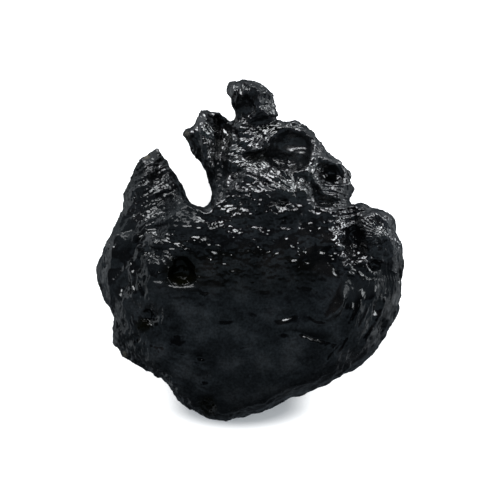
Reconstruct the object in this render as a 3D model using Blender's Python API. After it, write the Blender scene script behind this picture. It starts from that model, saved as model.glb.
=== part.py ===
"""A tektite: one lump of natural black glass, chilled in flight, lying on its back.

X runs across the stone, Y along it from its blunt toe to its knob, and Z is up, out of its
sculpted face. The origin is on the floor, under the middle of the stone's box. The form is worked
in millimetres and turned into metres at the very end.
"""

import math
from dataclasses import dataclass

import bmesh
import bpy
import numpy as np
from mathutils import Matrix, Vector, noise

# Driving dimensions of the stone, in millimetres.
STONE_LENGTH = 60.0  # toe to knob
BODY_TOP = 22.0  # summit of the body's broad dome, above the floor
HEAD_TOP = 20.6  # where the head's slope leaves the body
LOBE_TOP = 16.2
EAR_TOP = 17.6
SPIRE_TOP = 15.0
BLADE_TOP = 16.4
HORN_TOP = 15.2
KNOB_TOP = 15.2
BACK_LEVEL = -1.0  # lowest part of the back's bow, worn away below the floor
BACK_BOW = 2.4  # how much higher the bow's edge is than its middle
BOW_SIZE = (25.0, 23.0)  # half the bow's width and length
CAP_BLEND = 0.8  # how softly one dome of the face runs into the next
RIM_WAVER = 0.6  # how far the rims of hollows stray from true ovals
WAVER_SIZE = 3.0
PLATE_MIDDLE = (0.5, -15.0)  # the smooth plate on the lower half of the face
PLATE_SIZE = (17.0, 14.0)
PLATE_REACH = 1.3  # where the weathering is back in full, in plate sizes
PLATE_FADE = 0.5  # and how wide the fade is
PLATE_CALM = 0.85  # how much of the weathering the plate is spared
FACE_TURN = 0.5  # upward share of the normal from which skin counts as face

# How finely the form is worked, in millimetres.
OUTLINE_STEP = 0.25
RAGGED = 0.30  # how far the outline strays from its smooth curve
RAGGED_SIZE = 2.4
EDGE_MIX = 0.3  # how softly one stretch's edge numbers run into the next, in square millimetres
SLAB_HALF = 2.0  # half the thickness of the flat slab that the form is pushed out of
SLAB_VOXEL = 0.40
SLAB_SHORTFALL = 0.06  # how far the remeshed slab's top stays below the flat one's
FORM_VOXEL = 0.40
EDGE_HALF = 0.7  # half the height of the blunt edge left along the outline
WORN_FLAT = 0.04  # whatever ends this near the floor is part of a worn flat
SOFTEN_STEPS = 2
TRIANGLES = 9400

# The weathering that covers the glass on every side, in millimetres.
BROAD_LUMPS = (0.30, 9.0)  # height and size
LUMPS = (0.50, 5.0)
SMALL_LUMPS = (0.32, 2.4)
UNDER_LUMPS = (1.1, 4.6)  # on the flanks below the outline and on the back
UNDER_LEVEL = 7.0  # below this height above the floor they begin
UNDER_FADE = 3.0  # and this much lower they are full
PITS = 340
PIT_SMALLEST = 0.9  # radius
PIT_LARGEST = 1.9
PIT_DEPTH = 0.22  # as a share of the radius
PIT_SEED = 11

MILLIMETRE = 0.001
LAYER_STEP = Vector((17.3, 5.1, 31.7))  # between one layer of noise and the next


@dataclass(frozen=True)
class Stretch:
    """A stretch of the outline, clockwise seen from above."""

    height: float  # of the outline above the floor
    front_round: float  # how far in from the outline the face reaches its full height
    back_round: float  # the same for the back
    corners: tuple


@dataclass(frozen=True)
class Dome:
    """A broad rise whose surface is `drop` lower at its ellipse than at its middle."""

    x: float
    y: float
    rx: float
    ry: float
    turn: float  # degrees, anticlockwise
    top: float
    drop: float
    flatness: float = 1.0  # 2 keeps its middle nearly level and falls off late


@dataclass(frozen=True)
class Scoop:
    """An oval hollow with a crisp rim, or a pad where its depth is negative."""

    x: float
    y: float
    rx: float
    ry: float
    turn: float
    depth: float


@dataclass(frozen=True)
class Fold:
    """A ridge that follows a line and fades at its ends, or a crease where its height is negative."""

    height: float
    half_width: float
    line: tuple


LEFT_FLANK = Stretch(8.5, 3.0, 7.0, (
    (-22.2, -18.9), (-22.8, -17.7), (-23.9, -16.3), (-24.2, -14.1), (-23.8, -12.0), (-24.7, -10.0),
    (-26.3, -7.6), (-27.1, -3.9), (-26.7, -1.6), (-24.8, 1.8), (-23.4, 4.4),
))
SPIRE = Stretch(7.8, 2.6, 5.0, (
    (-22.5, 7.1), (-22.3, 9.8), (-21.1, 12.2), (-19.9, 14.8), (-18.5, 16.6), (-16.7, 17.7),
    (-15.6, 16.7), (-14.3, 14.9), (-13.2, 13.2), (-11.8, 11.2),
))
NOTCH = Stretch(9.5, 1.5, 3.5, (
    (-10.8, 9.1), (-9.8, 8.1), (-8.3, 7.6), (-6.8, 8.0), (-6.2, 9.3), (-6.5, 10.9), (-6.9, 12.2),
))
BLADE = Stretch(10.0, 1.6, 4.0, (
    (-7.7, 13.6), (-8.9, 15.8), (-10.3, 17.7), (-11.6, 19.6), (-11.5, 20.7), (-9.4, 22.0),
    (-8.9, 23.5), (-8.2, 24.5), (-7.2, 24.6), (-5.3, 23.4), (-3.4, 22.2),
))
KNOB = Stretch(10.2, 2.0, 4.0, (
    (-2.5, 23.1), (-2.4, 24.5), (-3.4, 26.6), (-4.1, 28.4), (-3.3, 29.7), (-1.6, 29.6),
    (0.2, 29.8), (2.0, 29.2), (3.6, 28.0), (4.3, 26.4), (4.9, 24.0), (4.5, 22.8),
))
SHOULDER = Stretch(10.5, 2.0, 7.0, (
    (6.6, 22.6), (8.2, 22.8), (9.8, 21.9), (12.1, 19.4), (15.0, 16.5), (17.2, 13.4), (18.4, 10.7),
    (17.3, 9.0),
))
EAR = Stretch(9.3, 2.0, 7.0, (
    (18.0, 7.8), (19.4, 8.1), (21.2, 7.7), (23.0, 7.1), (25.1, 5.2), (25.6, 2.9), (26.6, 1.3),
    (26.8, -1.2), (27.1, -3.9), (26.6, -7.2),
))
RIGHT_FLANK = Stretch(8.5, 3.0, 7.5, (
    (26.4, -9.6), (25.4, -12.5), (23.3, -16.1), (20.7, -18.9), (17.6, -21.4), (13.2, -23.7),
    (7.9, -25.8),
))
TOE = Stretch(8.0, 2.4, 7.0, (
    (5.1, -27.2), (2.1, -28.4), (-1.8, -29.5), (-5.0, -29.9), (-6.3, -29.5), (-8.2, -29.0),
    (-11.2, -27.6), (-13.2, -25.4), (-15.0, -22.9), (-17.0, -21.4), (-20.2, -19.6),
))
OUTLINE = (LEFT_FLANK, SPIRE, NOTCH, BLADE, KNOB, SHOULDER, EAR, RIGHT_FLANK, TOE)

DOMES = (
    Dome(-0.5, -10.0, 25.5, 25.0, 0, BODY_TOP, 8.0, 1.5),
    Dome(4.6, 1.5, 14.0, 21.0, -6, HEAD_TOP, 7.7),
    Dome(-20.0, -3.0, 6.5, 13.0, 6, LOBE_TOP, 4.0),
    Dome(21.0, 2.6, 6.0, 7.5, 0, EAR_TOP, 4.2),
    Dome(-16.6, 6.0, 5.0, 13.0, 14, SPIRE_TOP, 5.0),
    Dome(-6.9, 13.5, 2.6, 9.5, 14, BLADE_TOP, 4.6),
    Dome(-8.2, 21.2, 2.4, 3.0, 0, HORN_TOP, 2.8),
    Dome(0.4, 26.2, 5.2, 4.6, -30, KNOB_TOP, 3.6),
)

# What gives the head its look: the great hollow under its brow and the slanting "eye" beside it.
HEAD_SCOOPS = (
    Scoop(6.8, 17.4, 4.6, 3.6, 0, 3.4),
    Scoop(4.6, 15.8, 2.3, 1.7, 0, 1.6),
    Scoop(7.6, 15.2, 1.3, 1.6, 0, 1.0),
    Scoop(0.4, 16.3, 2.6, 1.1, 10, 1.2),
    Scoop(14.0, 12.8, 3.4, 2.5, -38, 2.6),
    Scoop(13.2, 8.3, 2.4, 1.2, -5, 1.4),
    Scoop(13.8, 6.5, 2.0, 1.2, 0, -0.8),
    Scoop(-4.0, 19.9, 1.4, 3.4, 8, 1.0),
    Scoop(-1.0, 21.4, 1.7, 1.1, 0, -0.9),
    Scoop(-9.4, 17.2, 1.3, 3.2, 32, 1.3),
    Scoop(1.5, 10.8, 2.8, 1.5, 20, 0.9),
    Scoop(-2.2, 12.6, 1.7, 2.1, 0, 0.8),
    Scoop(7.0, 7.8, 2.6, 1.6, -15, 0.8),
    Scoop(9.6, 10.0, 1.8, 1.5, 30, -0.6),
)
KNOB_SCOOPS = (
    Scoop(-0.7, 25.0, 1.9, 2.7, -12, 1.8),
    Scoop(2.2, 26.0, 1.6, 1.3, -20, 0.6),
    Scoop(3.4, 24.0, 1.4, 1.2, 0, -0.7),
    Scoop(-3.2, 28.2, 1.0, 1.2, 20, -0.5),
)
EAR_SCOOPS = (
    Scoop(18.4, 1.4, 2.1, 3.4, 6, 2.2),
    Scoop(21.2, 2.2, 2.6, 2.8, 0, -1.0),
    Scoop(22.2, 4.6, 0.9, 1.6, 20, 0.9),
    Scoop(21.8, -2.8, 1.4, 1.2, 0, 1.0),
    Scoop(17.2, 5.8, 1.6, 1.6, 0, 0.7),
    Scoop(19.4, 7.2, 1.6, 0.9, -10, -0.6),
)
LOBE_SCOOPS = (
    Scoop(-11.4, -3.2, 2.8, 1.8, 10, 1.6),
    Scoop(-16.7, -10.9, 1.9, 1.6, 0, 0.9),
    Scoop(-21.6, -5.8, 1.8, 2.0, 0, 0.9),
    Scoop(-21.4, 4.2, 1.6, 2.6, 20, 0.8),
    Scoop(-15.6, 3.4, 2.6, 1.5, 25, 0.7),
    Scoop(-15.4, -6.2, 4.4, 5.4, 0, -1.4),
)
BODY_SCOOPS = (
    Scoop(-7.4, -27.4, 1.7, 2.6, -10, 2.4),
    Scoop(10.0, -19.4, 1.6, 1.6, 0, 0.3),
    Scoop(-8.4, -18.3, 1.6, 1.4, 0, 0.5),
    Scoop(-7.6, -22.0, 1.6, 1.2, 0, 0.5),
    Scoop(-12.3, -14.6, 1.7, 1.5, 0, 0.5),
    Scoop(-2.6, 3.8, 2.0, 1.5, -10, 0.4),
    Scoop(5.8, 4.8, 1.6, 1.4, 10, 0.7),
)

HEAD_FOLDS = (
    Fold(1.0, 0.9, ((8.8, 21.6), (14.1, 17.2), (17.2, 11.8))),
    Fold(0.8, 0.8, ((3.0, 21.0), (2.3, 17.8), (0.5, 16.6))),
    Fold(0.7, 0.7, ((9.6, 20.2), (10.9, 17.4), (10.6, 14.6))),
    Fold(0.9, 0.7, ((3.0, 13.8), (6.4, 14.2), (9.6, 13.4), (11.4, 12.0))),
    Fold(0.9, 0.7, ((11.6, 11.3), (15.0, 11.1), (17.4, 10.4))),
    Fold(0.7, 0.7, ((14.6, 9.5), (17.2, 9.2))),
    Fold(-1.0, 0.7, ((9.3, 12.3), (11.1, 10.9), (11.8, 8.8), (15.0, 7.6))),
    Fold(0.6, 0.8, ((-3.4, 18.6), (-1.6, 14.6), (1.6, 12.6), (6.0, 11.8))),
    Fold(0.5, 0.7, ((0.6, 9.2), (4.0, 10.0), (8.2, 9.6))),
    Fold(1.1, 0.8, ((-8.3, 21.6), (-8.1, 18.5), (-7.2, 13.6), (-5.6, 8.6), (-4.4, 6.4))),
)
KNOB_FOLDS = (
    Fold(0.8, 0.7, ((-3.6, 28.8), (-2.6, 26.4), (-2.2, 24.0))),
    Fold(0.6, 0.6, ((-0.6, 28.8), (1.4, 27.6), (3.2, 27.2))),
)
EAR_FOLDS = (
    Fold(0.9, 0.7, ((15.9, 4.6), (15.5, 0.2), (16.6, -4.6))),
    Fold(0.8, 0.8, ((21.4, 7.0), (23.6, 5.2), (24.8, 1.6), (25.0, -2.4))),
    Fold(0.6, 0.6, ((19.6, 5.6), (21.6, 3.6), (23.0, 2.4))),
    Fold(0.6, 0.6, ((19.2, 3.2), (21.4, 2.4), (23.0, 2.2))),
    Fold(0.7, 0.7, ((18.9, -1.0), (20.6, -3.6), (23.2, -4.2))),
)
FLANK_FOLDS = (
    Fold(0.7, 0.8, ((16.2, -6.2), (15.5, -9.7), (13.2, -12.0))),
    Fold(0.7, 0.8, ((19.4, -6.6), (18.2, -11.0), (16.4, -14.4))),
    Fold(0.6, 0.8, ((22.0, -6.0), (20.9, -10.6), (18.6, -14.8), (15.0, -18.6), (13.0, -21.6))),
    Fold(0.5, 0.7, ((24.2, -7.4), (22.6, -12.6), (19.6, -17.0))),
    Fold(-0.5, 0.6, ((4.9, -14.1), (9.7, -14.6), (15.4, -15.6))),
    Fold(-0.4, 0.6, ((4.4, -12.0), (7.9, -10.8))),
)
LOBE_FOLDS = (
    Fold(0.8, 0.8, ((-23.0, 4.6), (-24.2, 0.9), (-24.4, -3.6), (-23.8, -10.6), (-22.6, -16.6))),
    Fold(0.6, 0.7, ((-20.6, -2.0), (-20.2, -6.2), (-19.6, -8.8))),
    Fold(0.7, 0.7, ((-18.0, 0.6), (-15.2, 1.2), (-12.8, 2.4))),
    Fold(0.5, 0.7, ((-14.2, -6.8), (-10.8, -7.0), (-7.6, -7.4))),
    Fold(-0.6, 0.7, ((-17.3, 12.4), (-14.2, 13.2))),
    Fold(-0.6, 0.7, ((-16.6, 9.0), (-12.8, 10.4))),
    Fold(-0.6, 0.7, ((-17.4, 6.2), (-15.4, 8.6), (-12.6, 9.2))),
    Fold(0.5, 0.7, ((-15.1, -9.3), (-15.4, -13.4))),
)
FACE_SCOOPS = HEAD_SCOOPS + KNOB_SCOOPS + EAR_SCOOPS + LOBE_SCOOPS + BODY_SCOOPS
FACE_FOLDS = HEAD_FOLDS + KNOB_FOLDS + EAR_FOLDS + FLANK_FOLDS + LOBE_FOLDS

# The back: broad hollows in its bow leave a few high points between, which are worn flat.
BACK_SCOOPS = (
    Scoop(0.5, 28.0, 9.0, 8.5, 0, 3.0),
    Scoop(-17.5, 15.0, 7.0, 8.5, 14, 1.6),
    Scoop(14.0, 16.5, 8.5, 5.0, -45, 1.6),
    Scoop(2.0, -4.0, 7.5, 5.6, 25, 2.4),
    Scoop(-2.5, -6.5, 5.0, 6.0, -30, 1.2),
    Scoop(-12.5, -8.0, 4.6, 6.4, 25, 1.6),
    Scoop(12.5, -12.5, 6.2, 4.0, -35, 1.6),
    Scoop(-4.5, 8.5, 6.4, 3.8, 15, 1.9),
    Scoop(10.5, 7.5, 4.4, 3.2, 50, 1.4),
    Scoop(-14.5, 3.5, 3.6, 3.0, -10, 1.0),
    Scoop(-2.5, -17.5, 5.4, 3.4, 8, 1.5),
    Scoop(18.5, -1.0, 3.4, 4.8, 10, 1.2),
    Scoop(5.5, -23.0, 4.4, 2.8, 20, 1.0),
    Scoop(-19.5, -12.0, 3.0, 4.0, -20, 1.0),
)
BACK_FOLDS = (
    Fold(0.7, 1.0, ((-20.5, 6.0), (-16.0, 9.0), (-12.0, 14.0))),
    Fold(0.7, 1.0, ((12.0, 19.0), (16.0, 13.0), (20.0, 8.0))),
    Fold(0.6, 1.0, ((19.0, -19.0), (23.0, -13.0), (24.5, -7.0))),
    Fold(0.6, 1.0, ((-20.5, -14.5), (-16.0, -18.0), (-11.0, -24.5))),
)


def smooth_loop(stretches):
    """The outline as a closed, slightly ragged curve, with each point's edge numbers beside it."""
    corners = [Vector(corner) for stretch in stretches for corner in stretch.corners]
    owners = [stretch for stretch in stretches for _ in stretch.corners]
    points, numbers = [], []
    for index, owner in enumerate(owners):
        before, start, end, after = (corners[(index + k) % len(corners)] for k in (-1, 0, 1, 2))
        pieces = max(2, round((end - start).length / OUTLINE_STEP))
        for piece in range(pieces):
            t = piece / pieces
            bend = 2 * before - 5 * start + 4 * end - after
            twist = 3 * start - before - 3 * end + after
            points.append((2 * start + (end - before) * t + bend * t**2 + twist * t**3) / 2)
            numbers.append((owner.height, owner.front_round, owner.back_round))
    points = np.array(points)
    flat = np.column_stack([points, np.zeros(len(points))])
    points += RAGGED * np.column_stack([swirl(flat, RAGGED_SIZE, layer) for layer in (6, 7)])
    return points, np.array(numbers)


def edge_numbers(places, outline, numbers):
    """Each place's distance from the outline, and the outline's edge numbers blended there."""
    distance = np.empty(len(places))
    blended = np.empty((len(places), numbers.shape[1]))
    for some in np.array_split(np.arange(len(places)), 1 + len(places) // 2000):
        squared = ((places[some, None] - outline[None]) ** 2).sum(axis=2)
        weight = 1 / (squared + EDGE_MIX) ** 2
        distance[some] = np.sqrt(squared.min(axis=1))
        blended[some] = weight @ numbers / weight.sum(axis=1, keepdims=True)
    return distance, blended


def oval_square(places, spot):
    """The squared distance from a spot's middle, where 1 is its own oval."""
    turn = math.radians(spot.turn)
    dx, dy = places[:, 0] - spot.x, places[:, 1] - spot.y
    along = (dx * math.cos(turn) + dy * math.sin(turn)) / spot.rx
    across = (dy * math.cos(turn) - dx * math.sin(turn)) / spot.ry
    return along**2 + across**2


def fold_lift(places, fold):
    """How far a fold lifts each place: a rounded bar along its line that fades at both ends."""
    line = np.array(fold.line)
    runs = np.diff(line, axis=0)
    lengths = np.hypot(runs[:, 0], runs[:, 1])
    started = np.concatenate([[0], np.cumsum(lengths)[:-1]])
    nearest = np.full(len(places), np.inf)
    walked = np.zeros(len(places))
    for start, run, length, done in zip(line, runs, lengths, started):
        share = np.clip((places - start) @ run / length**2, 0, 1)
        gap = np.linalg.norm(places - start - share[:, None] * run, axis=1)
        walked = np.where(gap < nearest, (done + share * length) / lengths.sum(), walked)
        nearest = np.minimum(nearest, gap)
    fade = np.clip(np.sin(math.pi * walked), 0, 1) ** 0.5
    return fold.height * fade * np.exp(-((nearest / fold.half_width) ** 2))


def relief(places, scoops, folds):
    """How far scoops and folds together lift each place, with their rims a little uneven."""
    flat = np.column_stack([places, np.zeros(len(places))])
    places = places + RIM_WAVER * np.column_stack([swirl(flat, WAVER_SIZE, layer) for layer in (0, 1)])
    lift = np.zeros(len(places))
    for scoop in scoops:
        lift -= scoop.depth * np.clip(1 - oval_square(places, scoop), 0, None)
    for fold in folds:
        lift += fold_lift(places, fold)
    return lift


def face_height(places):
    """The height of the sculpted face, away from its edges."""
    falls = [dome.drop * oval_square(places, dome) ** dome.flatness for dome in DOMES]
    caps = np.array([dome.top - fall for dome, fall in zip(DOMES, falls)])
    highest = caps.max(axis=0)
    broad = highest + CAP_BLEND * np.log(np.exp((caps - highest) / CAP_BLEND).sum(axis=0))
    return broad + relief(places, FACE_SCOOPS, FACE_FOLDS)


def back_height(places):
    """The height of the back, away from its edges: a bow with its hollows and folds."""
    bow = BACK_LEVEL + BACK_BOW * ((places / BOW_SIZE) ** 2).sum(axis=1)
    return bow - relief(places, BACK_SCOOPS, BACK_FOLDS)


def quarter_round(distance, reach):
    """0 at the outline, rising as a quarter circle to 1 at the reach."""
    return np.sqrt(1 - (1 - np.clip(distance / reach, 0, 1)) ** 2)


def baked(stone):
    """Puts the stone's modifiers into its mesh."""
    mesh = bpy.data.meshes.new_from_object(stone.evaluated_get(bpy.context.evaluated_depsgraph_get()))
    stone.modifiers.clear()
    stone.data = mesh


def remeshed(stone, voxel):
    """Rebuilds the stone's skin from small cubes, so that it is even and closed."""
    remesh = stone.modifiers.new("Even skin", "REMESH")
    remesh.mode = "VOXEL"
    remesh.voxel_size = voxel
    baked(stone)


def points_of(mesh):
    """The mesh's vertices as an array."""
    flat = np.empty(3 * len(mesh.vertices))
    mesh.vertices.foreach_get("co", flat)
    return flat.reshape(-1, 3)


def move_points(mesh, points):
    """Sets the mesh's vertices from an array."""
    mesh.vertices.foreach_set("co", points.ravel())
    mesh.update()


def flat_slab(outline):
    """A closed slab with the stone's outline, level with Z = 0 at its middle."""
    work = bmesh.new()
    corners = [work.verts.new((x, y, -SLAB_HALF)) for x, y in outline]
    bottom = work.faces.new(corners)
    raised = bmesh.ops.extrude_face_region(work, geom=[bottom])["geom"]
    top = [item for item in raised if isinstance(item, bmesh.types.BMVert)]
    bmesh.ops.translate(work, verts=top, vec=(0, 0, 2 * SLAB_HALF))
    bmesh.ops.recalc_face_normals(work, faces=work.faces)
    mesh = bpy.data.meshes.new("tektite")
    work.to_mesh(mesh)
    work.free()
    return mesh


def push_out(mesh, outline, numbers):
    """Turns the slab into the lump: its top becomes the sculpted face, and its bottom the back."""
    points = points_of(mesh)
    places = points[:, :2]
    side = np.clip(points[:, 2] / (SLAB_HALF - SLAB_SHORTFALL), -1, 1)
    distance, blended = edge_numbers(places, outline, numbers)
    height, front_round, back_round = blended.T
    rise = face_height(places) - height - EDGE_HALF
    fall = height - EDGE_HALF - back_height(places)
    front = EDGE_HALF + rise * quarter_round(distance, front_round)
    back = EDGE_HALF + fall * quarter_round(distance, back_round)
    points[:, 2] = height + side * np.where(side > 0, front, back)
    move_points(mesh, points)


def swirl(points, size, layer=0):
    """Smooth noise from -1 to 1 whose lumps are about `size` across, and another in each layer."""
    return np.array([noise.noise(Vector(point / size) + layer * LAYER_STEP) for point in points])


def weather(mesh):
    """Adds the uneven lumps and round pits that cover the glass on every side."""
    points = points_of(mesh)
    normals = np.array([vertex.normal for vertex in mesh.vertices])
    from_plate = np.linalg.norm((points[:, :2] - PLATE_MIDDLE) / PLATE_SIZE, axis=1)
    facing = np.clip(normals[:, 2] / FACE_TURN, 0, 1)
    rough = 1 - PLATE_CALM * facing * np.clip((PLATE_REACH - from_plate) / PLATE_FADE, 0, 1)
    lift = np.zeros(len(points))
    for layer, (height, size) in enumerate((BROAD_LUMPS, LUMPS, SMALL_LUMPS), start=2):
        lift += height * swirl(points, size, layer)
    lift *= rough
    under = np.clip((UNDER_LEVEL - points[:, 2]) / UNDER_FADE, 0, 1)
    height, size = UNDER_LUMPS
    lift -= under * height * np.abs(swirl(points, size, 5))
    dice = np.random.default_rng(PIT_SEED)
    for index in dice.choice(len(points), PITS, replace=False):
        radius = dice.uniform(PIT_SMALLEST, PIT_LARGEST)
        squared = ((points - points[index]) ** 2).sum(axis=1) / radius**2
        lift -= rough[index] * PIT_DEPTH * radius * np.clip(1 - squared, 0, None)
    move_points(mesh, points + lift[:, None] * normals)


def rest_on_floor(mesh):
    """Wears the back's high points flat, all on the floor at Z = 0."""
    points = points_of(mesh)
    points[:, 2] = np.where(points[:, 2] < WORN_FLAT, 0, points[:, 2])
    move_points(mesh, points)


def to_size(mesh):
    """Centres the stone over the origin and brings it to its length, in metres."""
    points = points_of(mesh)
    low, high = points.min(axis=0), points.max(axis=0)
    middle = Vector(((low[0] + high[0]) / 2, (low[1] + high[1]) / 2, 0))
    scale = STONE_LENGTH / (high[1] - low[1])
    mesh.transform(Matrix.Scale(scale * MILLIMETRE, 4) @ Matrix.Translation(-middle))


def black_glass():
    """Natural glass so dark that it reads as black, with a soft polish."""
    material = bpy.data.materials.new("black glass")
    material.use_nodes = True
    shader = material.node_tree.nodes["Principled BSDF"]
    shader.inputs["Base Color"].default_value = (0.006, 0.007, 0.009, 1)
    shader.inputs["Roughness"].default_value = 0.18
    shader.inputs["Metallic"].default_value = 0
    shader.inputs["IOR"].default_value = 1.5
    return material


def make_tektite():
    """The whole stone, as one object."""
    outline, numbers = smooth_loop(OUTLINE)
    stone = bpy.data.objects.new("tektite", flat_slab(outline))
    bpy.context.scene.collection.objects.link(stone)
    remeshed(stone, SLAB_VOXEL)
    push_out(stone.data, outline, numbers)
    remeshed(stone, FORM_VOXEL)
    weather(stone.data)
    soften = stone.modifiers.new("Soften", "SMOOTH")
    soften.factor = 0.5
    soften.iterations = SOFTEN_STEPS
    baked(stone)
    rest_on_floor(stone.data)
    thin = stone.modifiers.new("Thin out", "DECIMATE")
    thin.use_collapse_triangulate = True
    thin.ratio = TRIANGLES / (2 * len(stone.data.polygons))
    baked(stone)
    rest_on_floor(stone.data)
    to_size(stone.data)
    stone.data.name = "tektite"
    stone.data.shade_smooth()
    stone.data.materials.clear()
    stone.data.materials.append(black_glass())


for old in list(bpy.data.objects):
    bpy.data.objects.remove(old, do_unlink=True)
make_tektite()
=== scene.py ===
"""The dressed tektite: a lump of black natural glass on a pale table, seen from straight above.

The stone lies on its back with its sculpted face up, its toe towards -Y and its knob towards +Y.
Its skin is worked in millimetres and turned into metres when it is finished; the table, the lights
and the camera are in metres.
"""

import itertools
import logging
import math
from dataclasses import dataclass, field
from enum import Enum
from typing import ClassVar

import bmesh
import bpy
import numpy as np
from mathutils import Matrix, Vector
from mathutils.kdtree import KDTree


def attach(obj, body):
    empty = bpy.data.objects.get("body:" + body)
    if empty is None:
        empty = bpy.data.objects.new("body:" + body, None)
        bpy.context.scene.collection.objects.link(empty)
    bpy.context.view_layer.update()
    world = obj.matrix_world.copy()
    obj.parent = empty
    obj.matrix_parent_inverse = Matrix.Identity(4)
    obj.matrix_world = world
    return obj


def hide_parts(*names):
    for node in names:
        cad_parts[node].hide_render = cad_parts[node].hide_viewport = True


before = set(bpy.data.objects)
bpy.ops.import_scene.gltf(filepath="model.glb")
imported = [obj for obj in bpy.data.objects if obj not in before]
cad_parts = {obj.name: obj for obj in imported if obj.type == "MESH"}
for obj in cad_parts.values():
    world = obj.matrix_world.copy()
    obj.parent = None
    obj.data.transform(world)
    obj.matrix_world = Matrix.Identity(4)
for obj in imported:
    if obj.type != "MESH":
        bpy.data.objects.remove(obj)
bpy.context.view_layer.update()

LOG = logging.getLogger("tektite")
NODE = "tektite"
MILLIMETRE = 0.001
WELD = 1e-6  # metres, between the solid's points that are one point
FACE_SLOPE = 0.05  # upward lean above which a point or a triangle counts as the face
RESTING = 0.05  # millimetres above the floor, below which the skin stays as it is
Colour = tuple[float, float, float]
Span = tuple[float, float, float, float]
Feed = bpy.types.NodeSocket | float | tuple[float, ...]
WEAR_NAME = "wear"
PULL_NAME = "pull"
EARTH_AND_SHEEN_NAME = "earth_and_painted_sheen"
EARTH_AND_SHADE_NAME = "earth_and_shade"


class Way(Enum):
    """How the lines of a flow run."""

    STRAIGHT = "side by side"
    FAN = "out from a pole"
    RING = "round a pole"


class Swirl:
    """Smooth noise in space, from about -1 to 1."""

    def __init__(self, seed: int) -> None:
        """Draws the noise's own slopes.

        Args:
            seed: which noise this is.
        """
        dice = np.random.default_rng(seed)
        self.order = dice.permutation(256)
        slopes = dice.normal(size=(256, 3))
        self.slopes = slopes / np.linalg.norm(slopes, axis=1, keepdims=True)

    def at(self, points: np.ndarray) -> np.ndarray:
        """The noise at each point.

        Args:
            points: places in units of the noise's own lump size, one row each.

        Returns:
            One value for each point.
        """
        cell = np.floor(points).astype(int)
        part = points - cell
        fade = part**3 * (part * (part * 6 - 15) + 10)
        total = np.zeros(len(points))
        for corner in itertools.product((0, 1), repeat=3):
            node = cell + corner
            first = self.order[node[:, 0] & 255]
            second = self.order[(first + node[:, 1]) & 255]
            slope = self.slopes[self.order[(second + node[:, 2]) & 255]]
            weight = np.where(corner, fade, 1 - fade).prod(axis=1)
            total += weight * (slope * (part - corner)).sum(axis=1)
        return 1.6 * total

    def octaves(self, points: np.ndarray, size: float, count: int) -> np.ndarray:
        """Several layers of the noise, each half the size and half the height of the one before.

        Args:
            points: places in millimetres.
            size: lump size of the first layer, in millimetres.
            count: how many layers.

        Returns:
            One value for each point.
        """
        layers = range(count)
        return sum(self.at(points * 2**k / size + 17 * k) / 2**k for k in layers)


WAVER = Swirl(3)
WAVER_ACROSS = Swirl(4)
GRAIN = Swirl(5)


@dataclass
class Skin:
    """The stone's skin while it is worked: where its points are and which way they face."""

    points: np.ndarray
    normals: np.ndarray
    tree: KDTree
    top_tree: KDTree
    top: np.ndarray
    FACE: ClassVar[tuple[float, float]] = (-0.15, 0.4)  # upward lean where it starts, and over how much
    SIDES: ClassVar[tuple[float, float]] = (0.85, 0.35)  # the same for the sides, which lean less

    @property
    def places(self) -> np.ndarray:
        """The points seen from above."""
        return self.points[:, :2]

    @property
    def facing(self) -> np.ndarray:
        """1 on the sculpted face, 0 on the back, and between along the outline."""
        start, rise = self.FACE
        return np.clip((self.normals[:, 2] - start) / rise, 0, 1)

    @property
    def steep(self) -> np.ndarray:
        """1 on the upright sides that make the outline, 0 on the level parts of the face and back."""
        start, rise = self.SIDES
        return np.clip((start - np.abs(self.normals[:, 2])) / rise, 0, 1)

    def spread(self, near: np.ndarray, values: np.ndarray) -> np.ndarray:
        """Gives some points their values and all the others 0.

        Args:
            near: the points' numbers.
            values: one value for each of them.

        Returns:
            One value for each point of the skin.
        """
        whole = np.zeros(len(self.points))
        whole[near] = values
        return whole


def stray(points: np.ndarray, size: float, reach: float) -> np.ndarray:
    """Moves points a little to and fro, so that edges drawn through them waver.

    Args:
        points: places in millimetres.
        size: from one stray to the next.
        reach: how far they stray.

    Returns:
        The moved points, seen from above.
    """
    waver = np.column_stack([WAVER.at(points / size), WAVER_ACROSS.at(points / size)])
    return points[:, :2] + reach * waver


@dataclass(frozen=True)
class Oval:
    """A soft-edged oval patch of the stone, seen from above."""

    x: float
    y: float
    rx: float
    ry: float
    turn: float = 0.0

    def inner(self, places: np.ndarray) -> tuple[np.ndarray, np.ndarray]:
        """Places in the oval's own units, where its edge is 1 from its middle.

        Args:
            places: points seen from above, in millimetres.

        Returns:
            How far each is along the oval and across it.
        """
        turn = math.radians(self.turn)
        dx, dy = places[:, 0] - self.x, places[:, 1] - self.y
        along = (dx * math.cos(turn) + dy * math.sin(turn)) / self.rx
        across = (dy * math.cos(turn) - dx * math.sin(turn)) / self.ry
        return along, across

    @staticmethod
    def fade(along: np.ndarray | float, across: np.ndarray | float) -> np.ndarray | float:
        """1 well inside the oval, fading to 0 past its edge."""
        return np.clip(2.2 - 1.6 * np.hypot(along, across), 0, 1)

    def weight(self, skin: Skin) -> np.ndarray:
        """How much each point of the skin belongs to the patch.

        Args:
            skin: the skin.

        Returns:
            1 inside the patch, fading to 0 past its edge and off the face.
        """
        return self.fade(*self.inner(skin.places)) * skin.facing


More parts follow.
